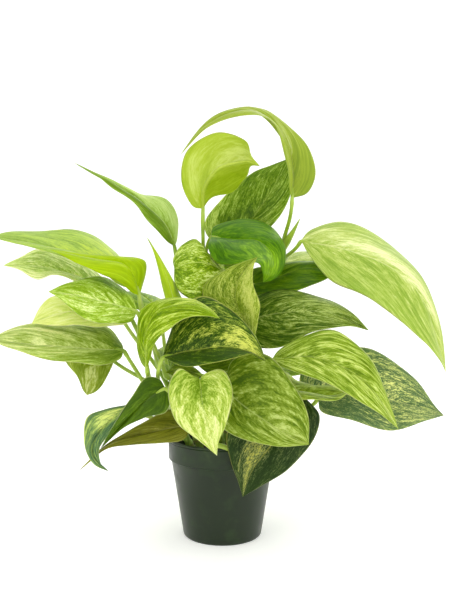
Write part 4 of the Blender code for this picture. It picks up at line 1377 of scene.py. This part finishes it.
@dataclass
class Petiole:
    """The stalk of a leaf, from the side of its vine into its midrib. Sizes are in mm."""

    leaf: Leaf
    radius: float = 1.5
    vine_radius: float = 2.8
    gap: float = 0.3
    into_blade: float = 7.0
    points: int = 34
    sides: int = 14
    taper: float = 0.14
    clasp_swell: float = 0.75
    clasp_reach: float = 0.10
    knee_swell: float = 0.16
    knee_place: float = 0.88
    knee_reach: float = 0.05
    end_radii: tuple[float, float] = (0.7, 0.3)

    def path(self) -> Array:
        """A smooth bend that leaves the vine outwards, rises, and turns into the midrib.

        It is a cubic Bezier curve from the vine's side to the blade's base.

        Returns:
            Its points, one row each.
        """
        leaf = self.leaf
        node = along(VINES[leaf.vine], [leaf.share])[0]
        base, inside = along(leaf.midrib, [0, 0.1])
        inside = base + unit(inside - base) * self.into_blade
        outward = unit((base - node) * (1, 1, 0))
        start = node + outward * (self.vine_radius + self.radius + 1.5 * self.gap)
        reach = np.linalg.norm(base - start) * 0.4
        slope = (base - start)[2] / max(np.linalg.norm((base - start)[:2]), 1)
        first = start + reach * unit(outward + (0, 0, max(slope, 0) + 0.4))
        last = base - reach * unit(0.6 * unit(inside - base) + (0, 0, 1))
        t = np.linspace(0, 1, self.points)[:, None]
        bend = start * (1 - t) ** 3 + 3 * first * t * (1 - t) ** 2 + 3 * last * t**2 * (1 - t)
        bend = bend + base * t**3
        return smoothed(np.vstack([node + outward * 1.2, bend, 0.5 * (base + inside), inside]), 1)

    def add_to(self, surface: Surface) -> None:
        """Adds the stalk: wide where it clasps the vine, with a thicker knee under the blade.

        Args:
            surface: the leaf's surface.
        """
        path = self.path()
        t = np.linspace(0, 1, len(path))
        clasp = self.clasp_swell * np.exp(-((t / self.clasp_reach) ** 2))
        knee = self.knee_swell * np.exp(-(((t - self.knee_place) / self.knee_reach) ** 2))
        radii = self.radius * (1.0 - self.taper * t + clasp + knee)
        radii[-2:] = self.radius * np.array(self.end_radii)
        points, faces = tube_shape(path, radii, self.sides)
        veins = np.zeros((len(points), 2))
        surface.add(points, faces, slot=1, veins=veins, paleness=np.zeros(len(points)))


@dataclass
class Vine:
    """One vine: a round green stem with swollen joints. Sizes are in mm."""

    name: str
    route: tuple[Point, ...]
    radius: float = 2.8
    taper: float = 0.2
    joint_step: float = 19.0
    joint_swell: float = 0.16
    joint_reach: float = 1.6
    ripple: float = 0.12
    ripple_mm: float = 2.2
    ripple_seed: int = 7
    sides: int = 28
    step: float = 0.8

    def build(self, material: bpy.types.Material) -> bpy.types.Object:
        """Builds the stem: its radius grows at each joint and closes to a rounded tip.

        Args:
            material: the vines' skin.

        Returns:
            The finished piece.
        """
        rough = along(self.route, np.linspace(0, 1, 40))
        length = np.linalg.norm(np.diff(rough, axis=0), axis=1).sum()
        count = int(length / self.step)
        path = along(self.route, np.linspace(0, 1, count))
        run = np.linspace(0, length, count)
        near = (run % self.joint_step - 0.5 * self.joint_step) / self.joint_reach
        joint = np.exp(-(near**2))
        radii = self.radius * (1 - self.taper * run / length) * (1 + self.joint_swell * joint)
        radii *= np.sqrt(np.clip((length - run + 0.3) / 2.0, 0.02, 1))
        points, faces = tube_shape(path, radii, self.sides)
        middle = np.vstack([np.repeat(path, self.sides, axis=0), path[[0, -1]]])
        ripple = self.ripple * value_noise(points, self.ripple_mm, self.ripple_seed)
        points += ripple[:, None] * unit(points - middle)
        scar = np.exp(-((near + 0.6) ** 2) * 3) * 0.8
        scar = np.concatenate([np.repeat(scar, self.sides), [0, 0]])
        surface = Surface()
        surface.add(points, faces, scar=scar)
        name = f"{self.name}_vine"
        return new_piece(name, surface.mesh(name), [material], "vine_stem", f"stem_{self.name}")


@dataclass(frozen=True)
class Shoot:
    """A short round shoot: its route, and its radius at each of the route's points, in mm."""

    name: str
    route: tuple[Point, ...]
    radii: tuple[float, ...]


# The pointed sheath at the right vine's top joint, and a cut stalk that leans over the lip.
SHOOTS = (
    Shoot(
        "joint_sheath",
        route=((44, 14, 211), (48, 8, 219), (52, 1, 226), (57, -5, 236)),
        radii=(2.6, 3.0, 1.6, 0.25),
    ),
    Shoot(
        "cut_stalk",
        route=((-9, -32, 64), (-8, -36, 72), (-3, -42.5, 76.5), (5, -43.5, 74.5)),
        radii=(1.8, 1.8, 1.9, 1.7),
    ),
)


@dataclass
class PothosPlant:
    """All the leaves, vines and shoots."""

    shoot_points: int = 30
    shoot_sides: int = 16

    def build(self) -> None:
        """Builds the vines, then each leaf with its stalk, and then the shoots."""
        vine_skin, stalk_skin = vine_material(), petiole_material()
        for name, route in VINES.items():
            Vine(name, route).build(vine_skin)
        for seed, leaf in enumerate(LEAVES, start=1):
            blade = Blade(leaf, seed)
            surface = Surface()
            blade.add_to(surface)
            Petiole(leaf).add_to(surface)
            skin = leaf_material(leaf, blade.length, float(blade.half_width.max()), seed)
            name, skins = f"{leaf.name}_leaf", [skin, stalk_skin]
            new_piece(name, surface.mesh(name), skins, leaf.tissue.value, f"leaf_{leaf.name}")
        for shoot in SHOOTS:
            self.build_shoot(shoot, stalk_skin)

    def build_shoot(self, shoot: Shoot, skin: bpy.types.Material) -> None:
        """Builds a shoot as a tube.

        Args:
            shoot: its name, route and radii.
            skin: its material.
        """
        shares = np.linspace(0, 1, self.shoot_points)
        path = along(shoot.route, shares)
        radius = np.interp(shares, np.linspace(0, 1, len(shoot.radii)), shoot.radii)
        surface = Surface()
        surface.add(*tube_shape(path, radius, self.shoot_sides))
        new_piece(shoot.name, surface.mesh(shoot.name), [skin], "vine_stem")


@dataclass
class NurseryPot:
    """The thin tapered pot: collar, rolled lip, and drain holes in its floor. Sizes are in mm."""

    steps: int = 144
    hole_count: int = 6
    hole_radius: float = 3.0
    hole_ring: float = 19.0
    hole_turn: float = 0.37  # as a share of the step between holes
    hole_sides: int = 32
    sharp_degrees: float = 40.0

    def profile(self) -> Array:
        """The wall's closed outline: inside up, over the rolled lip, and outside down.

        Returns:
            (radius, height) rows.
        """
        collar_foot = POT_HEIGHT - COLLAR_HEIGHT
        neck_in, lip_in = NECK_RADIUS - POT_WALL, COLLAR_RADIUS - POT_WALL
        roll = np.linspace(np.pi * 0.85, -np.pi * 0.45, 9)
        lip = np.stack([LIP_RADIUS - 1.0 + np.cos(roll), POT_HEIGHT - 1.0 + np.sin(roll)], axis=1)
        inner = [
            (0.6, POT_FLOOR),
            (12.0, POT_FLOOR),
            (FOOT_RADIUS - POT_WALL - 1.2, POT_FLOOR),
            (FOOT_RADIUS - POT_WALL, POT_FLOOR + 1.2),
            (0.5 * (FOOT_RADIUS + NECK_RADIUS) - POT_WALL, 0.5 * collar_foot + 1),
            (neck_in, collar_foot + 0.6),
            (neck_in + 0.5, collar_foot + 1.6),
            (lip_in - 0.3, collar_foot + 2.4),
            (lip_in, collar_foot + 3.2),
            (lip_in + 0.4, POT_HEIGHT - 2.4),
        ]
        outer = [
            (COLLAR_RADIUS + 0.35, POT_HEIGHT - 2.6),
            (COLLAR_RADIUS + 0.15, POT_HEIGHT - 3.4),
            (COLLAR_RADIUS, collar_foot + 1.2),
            (COLLAR_RADIUS - 0.2, collar_foot + 0.4),
            (COLLAR_RADIUS - 0.8, collar_foot),
            (NECK_RADIUS + 0.3, collar_foot),
            (NECK_RADIUS - 0.1, collar_foot - 0.5),
            (0.5 * (FOOT_RADIUS + NECK_RADIUS), 0.5 * collar_foot),
            (FOOT_RADIUS + 0.5, 2.4),
            (FOOT_RADIUS + 0.1, 0.9),
            (FOOT_RADIUS - 0.9, 0.0),
            (12.0, 0.0),
            (0.6, 0.0),
        ]
        return np.vstack([inner, lip, outer])

    def build(self) -> bpy.types.Object:
        """Turns the wall, closes the floor's centre, and cuts the drain holes.

        Returns:
            The finished piece.
        """
        points, faces = turned_shape(self.profile(), self.steps)
        surface = Surface()
        surface.add(points, faces)
        piece = put_in_scene("pot_shell", surface.mesh("pot_shell"))
        angle = 2 * np.pi * (np.arange(self.hole_count) + self.hole_turn) / self.hole_count
        drill = Surface()
        for turn in angle:
            middle = np.array([self.hole_ring * np.cos(turn), self.hole_ring * np.sin(turn), 0])
            path = middle + np.outer([-3.0, 5.0], (0, 0, 1))
            drill.add(*tube_shape(path, np.full(2, self.hole_radius), self.hole_sides))
        cutter = put_in_scene("pot_drill", drill.mesh("pot_drill"))
        cut = piece.modifiers.new("Drain", "BOOLEAN")
        cut.operation = "DIFFERENCE"
        cut.solver = "EXACT"
        cut.object = cutter
        bpy.context.view_layer.update()
        cut_mesh = bpy.data.meshes.new_from_object(
            piece.evaluated_get(bpy.context.evaluated_depsgraph_get())
        )
        for helper in (piece, cutter):
            bpy.data.objects.remove(helper)
        cut_mesh.name = "pot_shell"
        cut_mesh.shade_smooth()
        cut_mesh.set_sharp_from_angle(angle=np.radians(self.sharp_degrees))
        return new_piece("pot_shell", cut_mesh, [pot_material()], "pot_plastic", "nursery_pot")


@dataclass
class PottingMix:
    """The plug of potting mix: a crumbly top with bark chips and perlite. Sizes are in mm."""

    rings: int = 60
    steps: int = 150
    chips: int = 190
    grains: int = 70
    foot: float = 2.5
    random_seed: int = 11
    lump_rings: int = 3
    lump_sides: int = 7

    def build(self) -> None:
        """Builds the plug, the chips and the perlite."""
        self.build_plug()
        rng = np.random.default_rng(self.random_seed)
        bark = crumb_material("bark_chips", "#241508", "#4a2f1a", "#7a5a3a", 2.0)
        # Expanded volcanic glass: white, chalky and full of bubbles.
        perlite = crumb_material("perlite", "#b9b4a6", "#dcd9cf", "#f3f1ea", 1.0)
        self.scatter("bark_chip_layer", rng, self.chips, (0.9, 2.6), (1.0, 0.6, 0.3), bark)
        self.scatter("perlite_layer", rng, self.grains, (0.5, 1.1), (1.0, 0.9, 0.8), perlite)

    def height(self, x: Array, y: Array) -> Array:
        """The top's height: a low dome with lumps of three sizes.

        Args:
            x: places across.
            y: places in depth.

        Returns:
            A height for each place.
        """
        radius = np.hypot(x, y) / SOIL_RADIUS
        dome = SOIL_EDGE + (SOIL_TOP - SOIL_EDGE) * np.clip(1 - radius**2, 0, 1)
        flat = np.stack([x, y], axis=-1)
        coarse, middling = 0.8 * value_noise(flat, 7, 3), 0.5 * value_noise(flat, 3, 4)
        lumps = coarse + middling + 0.25 * value_noise(flat, 1.3, 5)
        return dome - 0.4 + lumps * np.clip(6 * (1.02 - radius), 0, 1)

    def build_plug(self) -> None:
        """A closed plug: rings on the top, then down the wall to a point at the foot."""
        radius = SOIL_RADIUS * np.linspace(0.01, 1, self.rings)
        angle = np.linspace(0, 2 * np.pi, self.steps, endpoint=False)
        x, y = np.outer(radius, np.cos(angle)), np.outer(radius, np.sin(angle))
        top = np.stack([x, y, self.height(x, y)], axis=-1)
        wall = []
        for share, height in ((1.0, 58.0), (0.87, 30.0), (0.745, self.foot), (0.01, self.foot)):
            ring = np.stack([x[-1] * share, y[-1] * share, np.full(self.steps, height)], axis=-1)
            wall.append(ring)
        summit = self.height(np.zeros(1), np.zeros(1))[0]
        points = np.vstack([top.reshape(-1, 3), *wall, [[0, 0, summit], [0, 0, self.foot]]])
        quads = grid_quads(self.rings + len(wall), self.steps, around=True)[:, ::-1]
        first = np.arange(self.steps)
        last = first + (self.rings + len(wall) - 1) * self.steps
        caps = [fan(len(points) - 2, first), fan(len(points) - 1, last, flip=True)]
        surface = Surface()
        surface.add(points, [quads, *caps])
        # Peat and coir: nearly black when moist, with paler fibres. Here too the hollows
        # get painted shade and the crests painted light.
        mix = crumb_material("moist_potting_mix", "#120b06", "#2a1b10", "#4d3521", 1.6)
        new_piece("mix_plug", surface.mesh("mix_plug"), [mix], "potting_mix", "potting_soil")

    def scatter(
        self,
        name: str,
        rng: np.random.Generator,
        count: int,
        size: tuple[float, float],
        shape: Point,
        material: bpy.types.Material,
    ) -> None:
        """Lays many small uneven lumps on the mix, as one piece.

        Args:
            name: the piece's name.
            rng: gives places, sizes and turns.
            count: how many lumps.
            size: smallest and largest radius.
            shape: each lump's proportions.
            material: their finish.
        """
        polar = np.linspace(0, np.pi, self.lump_rings + 2)[1:-1]
        turn = np.linspace(0, 2 * np.pi, self.lump_sides, endpoint=False)
        ball = rings_about_z(np.sin(polar), np.cos(polar), turn).reshape(-1, 3)
        first, top = np.arange(self.lump_sides), len(ball)
        faces = [
            grid_quads(self.lump_rings, self.lump_sides, around=True)[:, ::-1],
            fan(top, first),
            fan(top + 1, first + top - self.lump_sides, flip=True),
        ]
        ball = np.vstack([ball, (0, 0, 1), (0, 0, -1)])
        surface = Surface()
        for _ in range(count):
            far = SOIL_RADIUS * 0.95 * np.sqrt(rng.random())
            way = rng.random() * 2 * np.pi
            lump = ball * (1 + 0.22 * rng.standard_normal((len(ball), 1)))
            lump = lump * np.array(shape) * rng.uniform(*size)
            spin = np.linalg.qr(rng.standard_normal((3, 3)) * 0.35 + np.eye(3))[0]
            spin = spin * np.sign(np.linalg.det(spin))
            yaw = rng.random() * 2 * np.pi
            cosine, sine = np.cos(yaw), np.sin(yaw)
            lump = lump @ spin.T @ np.array([[cosine, sine, 0], [-sine, cosine, 0], [0, 0, 1]])
            x, y = far * np.cos(way), far * np.sin(way)
            top = self.height(np.array([x]), np.array([y]))[0]
            surface.add(lump + (x, y, top + 0.1), faces)
        mesh = surface.mesh(name)
        mesh.shade_flat()
        new_piece(name, mesh, [material], "potting_mix")


@dataclass(frozen=True)
class Softbox:
    """A square soft light: its place and side in metres, and its power in watts."""

    name: str
    place: Point
    size: float
    power: float


@dataclass
class Studio:
    """Pale floor, soft lights and the camera. Distances are in metres."""

    camera_target: Point = (0.002, 0.0, 0.176)
    camera_distance: float = 0.6
    camera_elevation: float = 3.0
    lens_mm: float = 48.36
    lit_point: Point = (0.0, 0.0, 0.15)
    floor_sides: int = 96
    cove_start: float = 2.0
    cove_radius: float = 0.9
    wall_top: float = 2.6
    floor_glow: float = 0.3
    surroundings: float = 0.58

    def build(self) -> None:
        """Builds the floor, the lights, the surroundings and the camera."""
        self.build_floor()
        lights = (
            Softbox("key_softbox", (-0.9, -1.1, 1.35), size=1.3, power=7.0),
            Softbox("fill_softbox", (1.3, -0.9, 0.7), size=1.2, power=3.8),
            Softbox("back_softbox", (0.5, 1.1, 1.3), size=1.2, power=7.5),
            Softbox("top_softbox", (0.0, 0.0, 1.7), size=1.4, power=5.0),
        )
        for light in lights:
            lamp = bpy.data.lights.new(light.name, "AREA")
            lamp.size = light.size
            lamp.energy = light.power
            holder = put_in_scene(light.name, lamp)
            self.aim(holder, np.array(light.place), np.array(self.lit_point))
        self.build_world()
        self.build_camera()

    def aim(self, holder: bpy.types.Object, place: Array, target: Array) -> None:
        """Puts a light or camera at a place, looking at a target, with no roll.

        Args:
            holder: the light or camera.
            place: where it stands.
            target: what it looks at.
        """
        back = unit(place - target)
        side = unit(np.cross((0, 0, 1), back)) if abs(back[2]) < 0.999 else np.array([1.0, 0, 0])
        up = np.cross(back, side)
        matrix = np.eye(4)
        matrix[:3, :3] = np.stack([side, up, back], axis=1)
        matrix[:3, 3] = place
        holder.matrix_world = Matrix(matrix.tolist())

    def build_floor(self) -> None:
        """A wide pale floor that curves up into a wall all round, with no edge to see."""
        arc = np.linspace(0, np.pi / 2, 14)
        cove = self.cove_start + self.cove_radius * np.sin(arc)
        radius = np.concatenate([[0.001, 0.4, 1.0, 1.8], cove, [2.9]])
        rise = self.cove_radius * (1 - np.cos(arc))
        height = np.concatenate([[0, 0, 0, 0], rise, [self.wall_top]])
        angle = np.linspace(0, 2 * np.pi, self.floor_sides, endpoint=False)
        points = rings_about_z(radius, height, angle).reshape(-1, 3)
        surface = Surface()
        surface.add(points / MM, [grid_quads(len(radius), self.floor_sides, around=True)])
        mesh = surface.mesh("studio_floor")
        material, tree, shader = new_material("matt_white_paint")
        look = {
            "Base Color": colour("#f4f4f2"),
            "Roughness": 0.9,
            "Emission Color": (1, 1, 1, 1),
            "Emission Strength": self.floor_glow,
        }
        feed(tree, shader, look)
        mesh.materials.append(material)
        floor = put_in_scene("studio_floor", mesh)

    def build_world(self) -> None:
        """White surroundings, which fill the shadows."""
        world = bpy.data.worlds.new("white_surroundings")
        world.use_nodes = True
        sky = world.node_tree.nodes["Background"]
        feed(world.node_tree, sky, {"Color": (1, 1, 1, 1), "Strength": self.surroundings})
        bpy.context.scene.world = world
        bpy.context.scene.view_settings.view_transform = "Standard"

    def build_camera(self) -> None:
        """The camera, level with the middle of the plant and looking slightly down."""
        lens = bpy.data.cameras.new("camera")
        lens.lens = self.lens_mm
        camera = put_in_scene("camera", lens)
        tilt = np.radians(self.camera_elevation)
        target = np.array(self.camera_target)
        place = target + self.camera_distance * np.array([0, -np.cos(tilt), np.sin(tilt)])
        self.aim(camera, place, target)
        bpy.context.scene.camera = camera


def main() -> None:
    """Loads the frame and builds everything around it."""
    logging.basicConfig(level=logging.INFO, format="%(message)s")
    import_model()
    Studio().build()
    NurseryPot().build()
    PottingMix().build()
    PothosPlant().build()
    bpy.context.view_layer.update()


if __name__ == "__main__":
    main()
